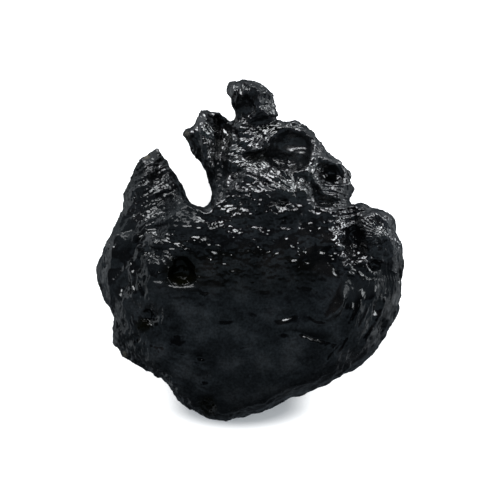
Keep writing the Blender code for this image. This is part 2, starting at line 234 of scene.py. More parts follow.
@dataclass(frozen=True)
class Ridge:
    """A raised line that wavers a little and fades at its ends, or a crease if its height is negative."""

    CREST: ClassVar[float] = 1.35  # 1 is a knife edge, 2 a round bar
    ENDS: ClassVar[float] = 0.6  # how slowly it rises from its ends, with 0 as at once
    STRAY: ClassVar[tuple[float, float]] = (0.9, 0.14)  # millimetres from waver to waver, and how far
    height: float
    half_width: float
    line: tuple[tuple[float, float], ...]

    def smooth_line(self) -> np.ndarray:
        """Rounds the line's corners.

        Returns:
            The line as a smooth curve of many points, one row each.
        """
        corners = np.array((self.line[0], *self.line, self.line[-1]), float)
        curve = []
        for before, start, end, after in zip(corners, corners[1:], corners[2:], corners[3:]):
            for t in (0.0, 0.25, 0.5, 0.75):
                bend = 2 * before - 5 * start + 4 * end - after
                twist = 3 * start - before - 3 * end + after
                curve.append((2 * start + (end - before) * t + bend * t**2 + twist * t**3) / 2)
        return np.array(curve + [corners[-1]])

    def lift(self, skin: Skin) -> np.ndarray:
        """How far the ridge lifts each point of the skin, in millimetres.

        Args:
            skin: the skin.

        Returns:
            One height for each point.
        """
        line = self.smooth_line()
        reach = 3 * self.half_width + 0.3
        inside = (skin.places > line.min(axis=0) - reach) & (skin.places < line.max(axis=0) + reach)
        near = np.flatnonzero(inside.all(axis=1) & (skin.facing > 0))
        places = stray(skin.points[near], *self.STRAY)
        runs = np.diff(line, axis=0)
        lengths = np.hypot(runs[:, 0], runs[:, 1])
        started = np.concatenate([[0], np.cumsum(lengths)[:-1]])
        gap = np.full(len(places), np.inf)
        walked = np.zeros(len(places))
        for start, run, length, done in zip(line, runs, lengths, started):
            share = np.clip((places - start) @ run / length**2, 0, 1)
            step = np.linalg.norm(places - start - share[:, None] * run, axis=1)
            walked = np.where(step < gap, (done + share * length) / lengths.sum(), walked)
            gap = np.minimum(gap, step)
        fade = np.clip(np.sin(math.pi * walked), 0, 1) ** self.ENDS
        lifted = self.height * fade * np.exp(-((gap / self.half_width) ** self.CREST))
        return skin.spread(near, lifted) * skin.facing


@dataclass(frozen=True)
class Pad:
    """A low oval swelling with a rounded edge, or a scooped hollow if its height is negative."""

    ROUNDING: ClassVar[float] = 0.8  # 0 is a flat top with a sharp edge, 1 a dome
    STRAY: ClassVar[tuple[float, float]] = (1.3, 0.22)  # millimetres from waver to waver, and how far
    x: float
    y: float
    rx: float
    ry: float
    height: float
    turn: float = 0.0

    def lift(self, skin: Skin) -> np.ndarray:
        """How far the pad lifts each point of the skin, in millimetres.

        Args:
            skin: the skin.

        Returns:
            One height for each point.
        """
        near = np.abs(skin.places - (self.x, self.y)).max(axis=1) < 1.6 * max(self.rx, self.ry)
        near = np.flatnonzero(near & (skin.facing > 0))
        oval = Oval(self.x, self.y, self.rx, self.ry, self.turn)
        along, across = oval.inner(stray(skin.points[near], *self.STRAY))
        lifted = self.height * np.clip(1 - along**2 - across**2, 0, 1) ** self.ROUNDING
        return skin.spread(near, lifted) * skin.facing


@dataclass(frozen=True)
class Flow:
    """Fine lines frozen into the glass as it flowed."""

    SUNK: ClassVar[float] = 0.4  # how deep the grooves between the lines lie, with the lines' height as 1
    FAN_SIZE: ClassVar[float] = 0.5  # millimetres, the size of what a fan's lines stray by
    patch: Oval
    spacing: float  # millimetres between lines, or degrees in a fan
    height: float
    way: Way = Way.STRAIGHT
    turn: float = 0.0  # the direction that straight lines run in, in degrees
    pole: tuple[float, float] = (0.0, 0.0)  # middle of a fan or of rings
    wander: float = 0.5  # how far the lines stray, in spacings
    sharpness: float = 1.5

    def lift(self, skin: Skin) -> np.ndarray:
        """How far the flow lines lift each point of the skin, in millimetres.

        Args:
            skin: the skin.

        Returns:
            One height for each point.
        """
        weight = self.patch.weight(skin)
        near = np.flatnonzero(weight > 0)
        where = skin.points[near]
        if self.way is Way.STRAIGHT:
            turn = math.radians(self.turn)
            phase = (where[:, 1] * math.cos(turn) - where[:, 0] * math.sin(turn)) / self.spacing
            size = self.spacing
        else:
            dx, dy = where[:, 0] - self.pole[0], where[:, 1] - self.pole[1]
            round_pole = np.degrees(np.arctan2(dy, dx))
            phase = (round_pole if self.way is Way.FAN else np.hypot(dx, dy)) / self.spacing
            size = self.FAN_SIZE if self.way is Way.FAN else self.spacing
        phase = phase + self.wander * WAVER.octaves(where, 5 * size, 2)
        crest = 1 - np.abs(2 * (phase - np.floor(phase)) - 1)
        strength = np.clip(0.65 + 0.7 * GRAIN.at(where / (4 * size)), 0.1, 1.3)
        shape = crest**self.sharpness - self.SUNK
        return skin.spread(near, weight[near] * self.height * strength * shape)


@dataclass(frozen=True)
class Pits:
    """Small pits scattered over a patch of the face, or over the back and sides if it has no patch."""

    patch: Oval | None
    count: int
    smallest: float  # radius, in millimetres
    largest: float
    depth: float  # as a share of the radius
    seed: int
    stretch: float = 1.0  # length over width
    turn: float = 0.0  # direction of the length, in degrees
    lean: float = 0.0  # above 0, steeper on the side towards the toe

    def middles(self, skin: Skin, dice: np.random.Generator) -> np.ndarray:
        """Picks the points that the pits are centred on.

        Args:
            skin: the skin.
            dice: where the random draws come from.

        Returns:
            The points' numbers in the skin.
        """
        if self.patch is None:
            weight = np.clip(1.1 - 1.4 * skin.facing, 0, None)
            return dice.choice(len(skin.points), self.count, replace=False, p=weight / weight.sum())
        patch = self.patch
        turn = math.radians(patch.turn)
        picked = []
        while len(picked) < self.count:
            along, across = dice.uniform(-1.25, 1.25, 2)
            if dice.random() > patch.fade(along, across):
                continue
            dx, dy = along * patch.rx, across * patch.ry
            x = patch.x + dx * math.cos(turn) - dy * math.sin(turn)
            y = patch.y + dx * math.sin(turn) + dy * math.cos(turn)
            _, index, gap = skin.top_tree.find((x, y, 0))
            picked.append(skin.top[index] if gap < 0.5 else -1)
        return np.array([index for index in picked if index >= 0])

    def lift(self, skin: Skin) -> np.ndarray:
        """How far the pits lift each point of the skin, in millimetres.

        Args:
            skin: the skin.

        Returns:
            One height for each point, 0 or negative apart from the pits' low lips.
        """
        dice = np.random.default_rng(self.seed)
        lifted = np.zeros(len(skin.points))
        for middle in self.middles(skin, dice):
            radius = self.smallest + (self.largest - self.smallest) * dice.random() ** 2
            turn = math.radians(self.turn + dice.normal(0, 18))
            stretch = 1 + (self.stretch - 1) * dice.uniform(0.5, 1.4)
            reach = 1.25 * radius * max(stretch, 1)
            found = [hit[1] for hit in skin.tree.find_range(skin.points[middle], reach)]
            normal = skin.normals[middle]
            along_way = np.array((math.cos(turn), math.sin(turn), 0.0))
            along_way -= normal * (normal @ along_way)
            along_way /= max(np.linalg.norm(along_way), 1e-6)
            gap = skin.points[found] - skin.points[middle]
            along = gap @ along_way / (radius * stretch)
            across = gap @ np.cross(normal, along_way) / radius
            round_gap = along**2 + across**2
            bowl = np.clip(1 - round_gap, 0, None) * (1 - self.lean * np.clip(across, -1, 1))
            deep = -self.depth * radius * dice.uniform(0.5, 1.1) * bowl
            lifted[found] = np.where(deep < 0, np.minimum(lifted[found], deep), lifted[found])
        return lifted


@dataclass(frozen=True)
class Grain:
    """Uneven lumps of one size over a patch of the face, or over the whole stone if it has no patch."""

    patch: Oval | None
    size: float
    height: float
    layers: int = 2
    ridged: bool = False
    turn: float = 0.0  # the direction that the lumps are long in, in degrees
    stretch: float = 1.0  # their length over their width
    sides: bool = False  # only on the steep sides, which make the outline

    def lift(self, skin: Skin) -> np.ndarray:
        """How far the lumps lift each point of the skin, in millimetres.

        Args:
            skin: the skin.

        Returns:
            One height for each point.
        """
        weight = np.ones(len(skin.points)) if self.patch is None else self.patch.weight(skin)
        weight = weight * skin.steep if self.sides else weight
        near = np.flatnonzero(weight > 0)
        turn = math.radians(self.turn)
        x, y, z = skin.points[near].T
        along = (x * math.cos(turn) + y * math.sin(turn)) / self.stretch
        across = y * math.cos(turn) - x * math.sin(turn)
        noise = GRAIN.octaves(np.column_stack([along, across, z]), self.size, self.layers)
        if self.ridged:
            noise = 0.6 - 1.6 * np.abs(noise)
        return skin.spread(near, weight[near] * self.height * noise)


@dataclass(frozen=True)
class Current:
    """Which way the molten glass ran at one place, and how far its lines stand out there."""

    x: float
    y: float
    turn: float  # in degrees
    height: float  # in millimetres
    reach: float = 4.0  # in millimetres


@dataclass(frozen=True)
class Stream:
    """Fine lines drawn out along the currents, all over the face."""

    currents: tuple[Current, ...]
    half_span: float = 33.0  # millimetres
    cell: float = 0.12
    width: float = 0.30  # of one line
    steps: int = 18  # how many cells a line runs to each side
    seed: int = 7
    share: float = 0.8  # of each current's height
    limit: float = 1.8  # how far a line stands out or in, with the usual line as 1

    def ways(self, places: np.ndarray) -> tuple[np.ndarray, np.ndarray]:
        """The way the glass ran and the lines' height at each place.

        Args:
            places: points seen from above, in millimetres.

        Returns:
            A direction of length 1 for each place, and a height for each.
        """
        total, height = np.zeros(len(places), complex), np.zeros(len(places))
        shares = np.full(len(places), 1e-6)
        for current in self.currents:
            gap = np.hypot(places[:, 0] - current.x, places[:, 1] - current.y) / current.reach
            share = np.exp(-(gap**2)) + 1e-4 / (1 + gap**2)
            total += share * np.exp(2j * math.radians(current.turn))
            height += share * current.height
            shares += share
        turned = np.exp(0.5j * np.angle(total))
        return np.column_stack([turned.real, turned.imag]), height / shares

    def lift(self, skin: Skin) -> np.ndarray:
        """How far the lines lift each point of the skin, in millimetres.

        Args:
            skin: the skin.

        Returns:
            One height for each point.
        """
        side = int(2 * self.half_span / self.cell)
        column, row = np.meshgrid(np.arange(side), np.arange(side))
        cells = np.column_stack([column.ravel(), row.ravel()]).astype(float)
        way, _ = self.ways(cells * self.cell - self.half_span)
        speck = np.random.default_rng(self.seed).normal(size=(side, side))
        drawn = np.zeros(side * side)
        for sense in (1.0, -1.0):
            at, heading = cells.copy(), sense * way
            for step in range(self.steps):
                index = np.clip(at.round().astype(int), 0, side - 1)
                flat = index[:, 1] * side + index[:, 0]
                drawn += speck.ravel()[flat] * (1 - step / self.steps)
                ahead = way[flat]
                heading = ahead * np.sign((ahead * heading).sum(axis=1, keepdims=True) + 1e-9)
                at += heading
        drawn = drawn.reshape(side, side)
        reach = max(1, round(self.width / self.cell / 2))
        for axis in (0, 1):
            drawn = sum(np.roll(drawn, shift, axis) for shift in range(-reach, reach + 1))
        drawn = (drawn - drawn.mean()) / drawn.std()
        inner = np.clip((skin.places + self.half_span) / self.cell, 0, side - 1.001)
        whole = inner.astype(int)
        part = inner - whole
        value = np.zeros(len(skin.points))
        for dx, dy in itertools.product((0, 1), repeat=2):
            share = np.abs(1 - dx - part[:, 0]) * np.abs(1 - dy - part[:, 1])
            value += share * drawn[whole[:, 1] + dy, whole[:, 0] + dx]
        _, height = self.ways(skin.places)
        return self.share * height * np.clip(value, -self.limit, self.limit) * skin.facing


@dataclass(frozen=True)
class Pull:
    """A short tug that moves a lump of the stone sideways."""

    x: float
    y: float
    radius: float
    dx: float
    dy: float

    def shift(self, skin: Skin) -> np.ndarray:
        """How far the tug moves each point of the skin.

        Args:
            skin: the skin.

        Returns:
            The move in x, y and z, in millimetres, one row for each point.
        """
        gap = np.hypot(skin.points[:, 0] - self.x, skin.points[:, 1] - self.y) / self.radius
        share = np.clip(1 - gap**2, 0, 1) ** 2
        return share[:, None] * (self.dx, self.dy, 0.0)


@dataclass(frozen=True)
class Zone:
    """One part of the stone and all the marks on it, from its broad forms to its finest pits."""

    forms: tuple[Ridge | Pad, ...] = ()
    flows: tuple[Flow, ...] = ()
    pits: tuple[Pits, ...] = ()
    grains: tuple[Grain, ...] = ()


@dataclass(frozen=True)
class Wear:
    """A patch of the stone that weather has dulled."""

    patch: Oval
    dulled: float  # 0 is polished, 1 a satin sheen full of etch marks, 2 duller and with no marks


class EarthAndShade(Enum):
    """Base colours laid where the glass's reflection is dulled: earth tints that the stone has, and a dark
    grey that is painted shade.
    """

    GREY = (0.0070, 0.0083, 0.0095)
    # painted shade: a dark grey that makes a patch of the face look shaded
    DARK = (0.0030, 0.0035, 0.0040)
    OLIVE = (0.0016, 0.0016, 0.0006)
    OCHRE = (0.0550, 0.0500, 0.0380)


@dataclass(frozen=True)
class EarthAndSheenPatch:
    """A patch of painted light on the face: above 0 it dulls the glass's reflection and lays a base colour
    over it, painted shade that is partly an earth tint; below 0 it makes the glass reflect more, a painted
    highlight.
    """

    patch: Oval
    earth_and_painted_sheen: float  # 1 hides the glass under its base colour with no reflection, as painted shade; 0 leaves it bare; less than 0 is a painted highlight that makes it shine more
    earth_and_shade: EarthAndShade = EarthAndShade.GREY


HEAD = Zone(
    forms=(
        Ridge(0.5, 0.5, ((8.8, 22.2), (12, 19.9), (15, 17.2), (16.7, 14.8), (18, 11.6))),
        Ridge(0.6, 0.4, ((3.2, 21.1), (2.8, 19.2), (2.1, 17.6), (0.4, 16.2))),
        Ridge(0.35, 0.3, ((-1.2, 16.5), (0.4, 17.1), (2.1, 17.6))),
        Ridge(0.5, 0.5, ((-1.6, 15.3), (0.9, 14.9), (2.2, 15.2))),
        Ridge(-0.7, 0.6, ((-1.6, 16.8), (0.6, 16.3), (3, 16.6), (5.2, 16.2))),
        Ridge(-0.8, 0.5, ((-6.3, 12), (-4.6, 13.2), (-2.8, 12.6))),
        Ridge(0.1, 0.35, ((4.4, 18.7), (6.7, 19.2), (9, 18.8))),
        Ridge(0.1, 0.3, ((6.9, 17.1), (8.8, 17.6), (10.4, 17.2))),
        Ridge(0.35, 0.3, ((10.2, 20.6), (11.3, 18.3), (11.1, 16.2))),
        Ridge(0.3, 0.3, ((11.6, 19.9), (12.5, 17.8), (12, 15.8))),
        Ridge(0.45, 0.3, ((1.8, 15.3), (3.5, 14.1), (4.8, 12))),
        Ridge(0.45, 0.3, ((3, 15.5), (4.9, 14.1), (6.2, 12))),
        Ridge(0.45, 0.3, ((4.2, 15.3), (6, 13.7), (7.2, 11.6))),
        Ridge(0.55, 0.35, ((12.3, 16.4), (10.4, 15), (9.7, 13), (10.4, 11.1))),
        Ridge(0.35, 0.27, ((12.8, 15.7), (11.1, 14.4), (10.6, 12.8), (11.3, 11.4))),
        Ridge(0.3, 0.25, ((13.4, 15.1), (12, 14.1), (11.4, 12.8), (12, 11.8))),
        Ridge(0.6, 0.4, ((11.6, 11.6), (13.4, 10.9), (15.5, 10.9), (17.6, 11.6))),
        Ridge(0.35, 0.3, ((12, 10.4), (14.4, 10.2), (17.2, 9.3))),
        Ridge(0.35, 0.3, ((12.3, 9.5), (14.8, 9), (16.9, 8.4))),
        Ridge(0.3, 0.25, ((15, 15.7), (16.2, 14.4), (17.1, 12.8))),
        Ridge(-0.6, 0.35, ((9.3, 12.3), (11.1, 10.9), (11.8, 8.8), (12.7, 7.6))),
        Ridge(-0.4, 0.35, ((-3.3, 22), (-3.9, 19.7), (-4.9, 17.6))),
        Ridge(0.4, 0.35, ((-3.9, 22.2), (-2.5, 21.3), (-0.7, 21.1), (1.1, 21.6))),
        Ridge(-0.4, 0.3, ((-2.3, 19.2), (0, 19.5), (1.4, 20.6))),
        Ridge(0.3, 0.3, ((-4.9, 15.8), (-3.2, 14.8), (-0.7, 14.4))),
        Ridge(0.3, 0.3, ((-4.2, 12.7), (-2.1, 11.6), (0.4, 11.6), (2.5, 10.7))),
        Ridge(0.25, 0.25, ((-3.2, 9.9), (-0.7, 9.3), (2.1, 9.2))),
        Ridge(-0.35, 0.3, ((4.6, 11.3), (7, 10.2), (8.8, 8.4))),
        Ridge(-0.3, 0.25, ((0, 13), (2.1, 11.6), (3.9, 9.5))), Pad(5.1, 22.2, 0.7, 0.5, 0.35),
        Pad(6.5, 22, 0.7, 0.5, 0.35), Pad(7.9, 22.2, 0.7, 0.5, 0.35), Pad(9.2, 21.5, 0.7, 0.5, 0.3),
        Pad(8.8, 10.4, 1.2, 1.6, 0.45), Pad(13.7, 6.5, 2.6, 2.6, 0.6), Pad(-1.1, 20.4, 1.4, 1.1, 0.35),
        Pad(-2.6, 15.6, 2.6, 2.4, 0.5), Pad(0.6, 12.2, 2.6, 2.2, 0.4), Pad(1.5, 8.6, 11, 4.6, 0.8, -8),
        Pad(3, 9, 5, 4, 0.7, -25), Pad(-5.4, 11.4, 1.4, 3.4, -0.5, 8),
        Ridge(0.9, 2, ((-2.6, 15.6), (-2.2, 13), (-2, 10.4), (-1.4, 8))),
        Ridge(0.8, 1, ((-3.4, 22.2), (-3, 19), (-3.2, 15.6))),
        Ridge(0.7, 0.8, ((-1.7, 22), (-1.2, 20), (-1.5, 17.8))), Pad(0.9, 9.6, 2.4, 3, 0.6),
        Pad(6.6, 15.2, 4.2, 1.8, -0.9), Pad(6.5, 20.2, 1.6, 0.9, -0.15), Pad(5.3, 16.2, 1.4, 1.1, -0.2),
        Pad(9, 15.5, 0.9, 1.1, -0.2), Pad(3.2, 18.1, 0.9, 1.1, 0.3), Pad(13.6, 13.7, 1.6, 1.1, -0.4, -32),
        Pad(16, 13, 1.1, 0.9, -0.4, -32), Pad(3.9, 22.9, 0.7, 0.5, 0.3),
    ),
    flows=(
        Flow(Oval(15.5, 13, 3.4, 2.2, -40), 0.55, 0.1, Way.RING, pole=(14.2, 13.4)),
        Flow(Oval(12, 13.6, 2, 3), 0.5, 0.1, Way.RING, pole=(15.2, 13.2)),
        Flow(Oval(14.5, 9.6, 3.2, 1.6, -8), 0.55, 0.12, turn=-10),
        Flow(Oval(1.5, 19, 2, 2.4), 0.45, 0.1, turn=62),
        Flow(Oval(4.8, 13.6, 2.6, 2), 0.6, 0.12, turn=-55),
        Flow(Oval(7, 18.2, 3.6, 2.6), 0.8, 0.05, Way.RING, pole=(6.5, 17.8)),
    ),
    pits=(
        Pits(Oval(0, 9.6, 6.5, 2.4), 260, 0.18, 0.45, 0.5, 21, 1.3, 0, 0.3),
        Pits(Oval(12.5, 19, 5, 1.8, -45), 200, 0.15, 0.35, 0.5, 23),
    ),
    grains=(
        Grain(Oval(-1, 14, 5.5, 7.5), 1.1, 0.11, 2, True, 52, 2.6),
        Grain(Oval(7, 10.5, 7, 3.6), 1, 0.11, 2, True, -30, 2.4), Grain(Oval(2, 13, 9, 7), 0.5, 0.035),
        Grain(Oval(7, 22, 6, 1.2), 0.8, 0.1), Grain(Oval(15, 16.5, 4.5, 1.8, -50), 0.7, 0.06),
    ),
)
BLADE = Zone(
    forms=(
        Ridge(0.5, 0.35, ((-8.3, 21.5), (-8.1, 18.5), (-7.6, 15.8), (-7, 12.7), (-6.3, 10), (-5.3, 7.9))),
        Ridge(0.3, 0.25, ((-6.5, 21.8), (-6.7, 19.4), (-6.3, 16.9))),
        Ridge(-0.3, 0.25, ((-7.4, 18.3), (-7, 15.8), (-6.5, 13))),
        Ridge(-0.35, 0.3, ((-9.3, 22), (-9, 19.7), (-8.4, 17.6))),
        Ridge(0.3, 0.25, ((-11.3, 19.2), (-10.2, 20.1), (-9, 20.4))),
        Ridge(-0.35, 0.3, ((-11.6, 10.6), (-10.9, 8.6), (-9.5, 7.2), (-7.7, 6.7), (-6, 7.6))),
        Ridge(0.3, 0.3, ((-12, 9.9), (-11.3, 7.7), (-9.7, 6.3), (-7.4, 5.8), (-5.1, 6.9))),
        Pad(-7.4, 19.8, 1.2, 2.2, 0.7, 8), Pad(-5.3, 22.2, 1.2, 1.6, -0.4),
        Pad(-10.4, 20.6, 1.1, 0.9, 0.4, 30),
    ),
    flows=(
        Flow(Oval(-7.4, 19.5, 1.4, 4, 10), 0.55, 0.08, turn=-25),
        Flow(Oval(-8.6, 7, 3, 1.2), 0.4, 0.05, Way.RING, pole=(-8.4, 9.8)),
    ),
    pits=(Pits(Oval(-6.5, 15, 1.6, 7, 12), 130, 0.15, 0.35, 0.5, 31, 1.2, 70),),
    grains=(Grain(Oval(-7.5, 16, 2.8, 8.5, 12), 0.8, 0.05, 2, True, 78, 2.6),),
)
KNOB = Zone(
    forms=(
        Ridge(0.4, 0.35, ((-3.7, 28.2), (-3.2, 26.4), (-2.3, 24.5))),
        Ridge(-0.4, 0.3, ((-2.1, 29.2), (-1.8, 27.5), (-1.8, 25.7))),
        Ridge(0.35, 0.3, ((-1.1, 29), (0.4, 28.2), (1.8, 27.1))),
        Ridge(0.3, 0.25, ((1.1, 29.2), (2.5, 28.2), (3.5, 26.9))),
        Ridge(-0.3, 0.25, ((1.4, 25), (3.2, 25.3), (4.4, 25))),
        Ridge(0.3, 0.25, ((2.1, 23.4), (3.5, 23.6), (4.8, 23.6))), Pad(-3, 28.9, 0.7, 0.9, 0.4),
        Pad(-0.5, 24.6, 1.4, 2.1, -0.5), Pad(2.6, 26.4, 1.1, 0.9, -0.3), Pad(3.9, 23.9, 0.9, 0.7, 0.4),
    ),
    flows=(Flow(Oval(-0.6, 24.8, 1.7, 2.4), 0.42, 0.08, turn=82, wander=0.35),),
    pits=(Pits(Oval(1.4, 28.2, 3.6, 1.3, -20), 120, 0.15, 0.35, 0.5, 41),),
    grains=(
        Grain(Oval(1.4, 28.2, 3.6, 1.6, -20), 0.6, 0.06), Grain(Oval(3.2, 24, 1.6, 1.4), 0.7, 0.08),
    ),
)
EAR = Zone(
    forms=(
        Ridge(0.35, 0.3, ((21.3, 7.6), (23.6, 6), (25, 3.3), (25.7, 0))),
        Ridge(0.3, 0.25, ((20.4, 7), (22.7, 5.5), (24.1, 3.3), (24.6, 0.5))),
        Ridge(0.3, 0.25, ((22.9, 7), (24.6, 5.5), (25.7, 3.2), (26.4, 0.7))),
        Ridge(-0.4, 0.3, ((17.4, 6.9), (17.8, 4.6), (16.9, 2.8))),
        Ridge(0.4, 0.22, ((17.4, 2.3), (18.7, 1.2))), Ridge(0.4, 0.22, ((17.8, 0.9), (19, 0))),
        Ridge(0.35, 0.22, ((17.2, -0.4), (18.7, -1.2))), Ridge(0.35, 0.22, ((19.2, 2.5), (19.7, 0.7))),
        Ridge(-0.4, 0.3, ((20.4, 0.4), (22.2, 0.7), (23.6, 1.4))),
        Ridge(0.35, 0.3, ((19.7, -2.1), (21.5, -1.4), (23.6, -2.1))),
        Ridge(0.3, 0.3, ((23.6, -2.8), (25, -3.9), (25.9, -5.6))),
        Ridge(-0.35, 0.3, ((18.7, -3.2), (20.4, -4.6), (22.9, -4.9))),
        Ridge(0.3, 0.25, ((18, 6.3), (19.7, 7.2), (21.3, 7.4))), Pad(16, 4.2, 0.8, 0.8, 0.65),
        Pad(15.7, 2.5, 0.8, 0.8, 0.65), Pad(15.3, 0.5, 0.8, 0.8, 0.65), Pad(15.8, -1.2, 0.8, 0.8, 0.65),
        Pad(16.5, -2.8, 0.8, 0.8, 0.65), Pad(17.4, -4.2, 0.9, 0.5, 0.35), Pad(16.7, 6, 1.4, 1.2, 0.4),
        Pad(19, 7.4, 1.6, 0.7, 0.35, -8), Pad(17.9, 2, 1.5, 2.6, -0.8), Pad(21.6, -2.8, 1.1, 0.9, -0.5),
        Pad(22.7, -0.4, 1.2, 0.9, 0.3), Pad(23.2, 2.3, 0.6, 0.5, 0.35), Pad(24.6, -2.1, 0.9, 1.4, 0.3),
    ),
    flows=(
        Flow(Oval(20.8, 3.9, 2.6, 2.1), 9, 0.48, Way.FAN, pole=(23.2, 2.5), wander=0.25, sharpness=1),
        Flow(Oval(24.2, 3.4, 1.8, 4.4, 20), 0.5, 0.12, Way.RING, pole=(19, 1.6)),
        Flow(Oval(25.6, -3.4, 1.3, 4), 0.5, 0.1, turn=94),
    ),
    pits=(
        Pits(Oval(19, -1.2, 3, 3.4), 160, 0.18, 0.45, 0.35, 51, 1.3, 30, 0.2),
        Pits(Oval(15.8, 2, 1.4, 5.4), 160, 0.18, 0.4, 0.55, 52, 1, 0, 0.2),
    ),
    grains=(
        Grain(Oval(18.5, -0.8, 3.2, 4), 0.9, 0.05, 2, True),
        Grain(Oval(24, -1, 2.6, 5), 0.9, 0.07, 2, True, 96, 2.4),
    ),
)
FLANK = Zone(
    forms=(
        Ridge(0.24, 0.4, ((16.2, -6), (15.7, -8.8), (14.4, -10.9), (12.7, -12.1))),
        Ridge(0.21, 0.35, ((17.6, -6.3), (17.1, -9.2), (15.8, -11.6), (14.1, -13))),
        Ridge(0.24, 0.4, ((19.2, -6.7), (18.7, -9.5), (17.6, -12.3), (16.4, -14.4))),
        Ridge(0.21, 0.35, ((21.5, -6), (20.8, -8.8), (19.5, -11.6), (18, -14.1))),
        Ridge(0.21, 0.35, ((20.4, -6.3), (19.4, -9.9), (17.8, -13.4), (15.5, -17.4), (13.7, -21.5))),
        Ridge(0.24, 0.4, ((23.6, -6.7), (22.9, -9.9), (21.3, -13.4), (19, -16.9), (16.5, -20.4))),
        Ridge(0.24, 0.3, ((25.2, -8.1), (24.3, -11.6), (22.5, -14.8), (20.1, -18))),
        Ridge(0.24, 0.3, ((26, -8.4), (25.3, -11.3), (23.9, -14.1), (21.8, -16.9))),
        Ridge(0.28, 0.3, ((14.6, -16.2), (13.7, -18.3), (12.5, -20.4))),
        Ridge(0.24, 0.3, ((16.9, -16.5), (16.2, -19), (15.1, -21.8))),
        Ridge(-0.28, 0.3, ((18.1, -7.4), (17.8, -10.2), (16.7, -12.7))),
        Ridge(-0.28, 0.3, ((22.4, -7), (21.5, -10.2), (19.9, -13.4))),
    ),
    flows=(
        Flow(Oval(19.5, -12, 4, 7.5, -24), 1.5, 0.07, Way.RING, pole=(2, -6)),
        Flow(Oval(24.6, -10.6, 1.6, 5.5, -24), 0.8, 0.08, Way.RING, pole=(2, -6)),
    ),
    pits=(Pits(Oval(20, -14, 4, 7, -24), 40, 0.15, 0.4, 0.3, 61, 1.6, 62, 0.1),),
    grains=(Grain(Oval(20, -13, 5, 8.5, -24), 1.6, 0.05, 2, False, 62, 2),),
)
BODY = Zone(
    forms=(
        Ridge(-0.17, 0.3, ((4.4, -12.1), (6.2, -11.6), (8.1, -10.7))),
        Ridge(-0.17, 0.3, ((9.9, -10.7), (11.1, -12), (13.4, -12))),
        Ridge(0.14, 0.3, ((9.9, -11.4), (11.3, -12.5), (13.6, -12.5))),
        Ridge(-0.17, 0.3, ((4.9, -14.3), (7, -13.7), (9.7, -14.6), (12.7, -15.5), (16, -16))),
        Ridge(0.14, 0.3, ((5.3, -15), (7.4, -14.4), (9.9, -15.3), (12.7, -16.2))),
        Ridge(0.17, 0.25, ((0.5, 3.9), (2.1, 2.8))),
        Ridge(0.14, 0.25, ((-1.1, 2.5), (1.1, 1.4), (2.1, 0))),
        Ridge(-0.19, 0.3, ((-15.1, -9.2), (-15.3, -11.3), (-15.3, -13.4))),
        Ridge(0.17, 0.3, ((-14.6, -9.2), (-14.6, -11.3), (-14.8, -13.6))),
        Ridge(-0.14, 0.3, ((-17.6, -15.5), (-16.2, -16.5), (-14.4, -16.5))),
        Ridge(-0.11, 0.25, ((-13.7, -16.9), (-12, -17.6), (-9.9, -17.6))),
        Ridge(-0.11, 0.25, ((-3.2, -16.9), (-1.1, -16.4), (0.7, -16.2))), Pad(-1, 5.6, 11, 3.4, 0.5, -4),
        Pad(1.9, 5.8, 0.9, 0.5, -0.22), Pad(4.6, 6.3, 0.9, 0.5, -0.22), Pad(-8.4, -18.3, 0.7, 0.4, -0.14),
        Pad(-7.9, -19.9, 0.9, 0.7, -0.14), Pad(-7.6, -22.4, 0.5, 0.7, -0.14),
        Pad(-12.3, -14.6, 0.7, 0.4, -0.11), Pad(-12.1, -11.6, 0.7, 0.5, -0.06),
        Pad(-15.8, -13.7, 1.1, 0.9, 0.14), Pad(-2.5, -3.2, 1.2, 0.7, -0.17),
        Pad(7, -1.1, 1.2, 0.9, -0.17), Pad(-6.2, 0, 1.2, 0.7, -0.17), Pad(2.1, -6.7, 1.2, 0.7, -0.17),
        Pad(9.7, -6.2, 1.1, 0.7, -0.17), Pad(-4.2, -12, 1.2, 0.7, -0.14),
        Pad(-7.4, -27.1, 0.9, 1.4, -0.33), Pad(-5.6, -28.5, 0.9, 0.5, 0.17),
    ),
    flows=(Flow(Oval(0, -14, 13, 6), 2.4, 0.03, turn=-24, wander=1.4),),
    pits=(
        Pits(Oval(-1, 6.4, 13, 2.8), 460, 0.22, 0.5, 0.34, 71, 1.25, 0, 0.35),
        Pits(Oval(1, 1.2, 13.5, 3.6), 260, 0.24, 0.5, 0.26, 72, 1.25, 0, 0.4),
        Pits(Oval(0, -0.8, 14.5, 4.6), 420, 0.16, 0.3, 0.32, 73, 1.4, 0, 0.3),
        Pits(Oval(0, -17, 15, 10), 50, 0.2, 0.45, 0.12, 74, 1.6, 0, 0.1),
    ),
    grains=(
        Grain(Oval(-1, 6.2, 14, 3.2), 0.9, 0.06, 3, False, 0, 1.4),
        Grain(Oval(0, -0.6, 15, 5.6), 1.3, 0.06, 3, False, 0, 1.3), Grain(Oval(0, 1, 15, 5), 0.6, 0.03),
        Grain(Oval(0, -16, 17, 12), 4, 0.1, 2, False, 0, 1.5),
        Grain(Oval(0, -15, 17, 11), 1.1, 0.022, 3, False, -30, 1.6),
    ),
)
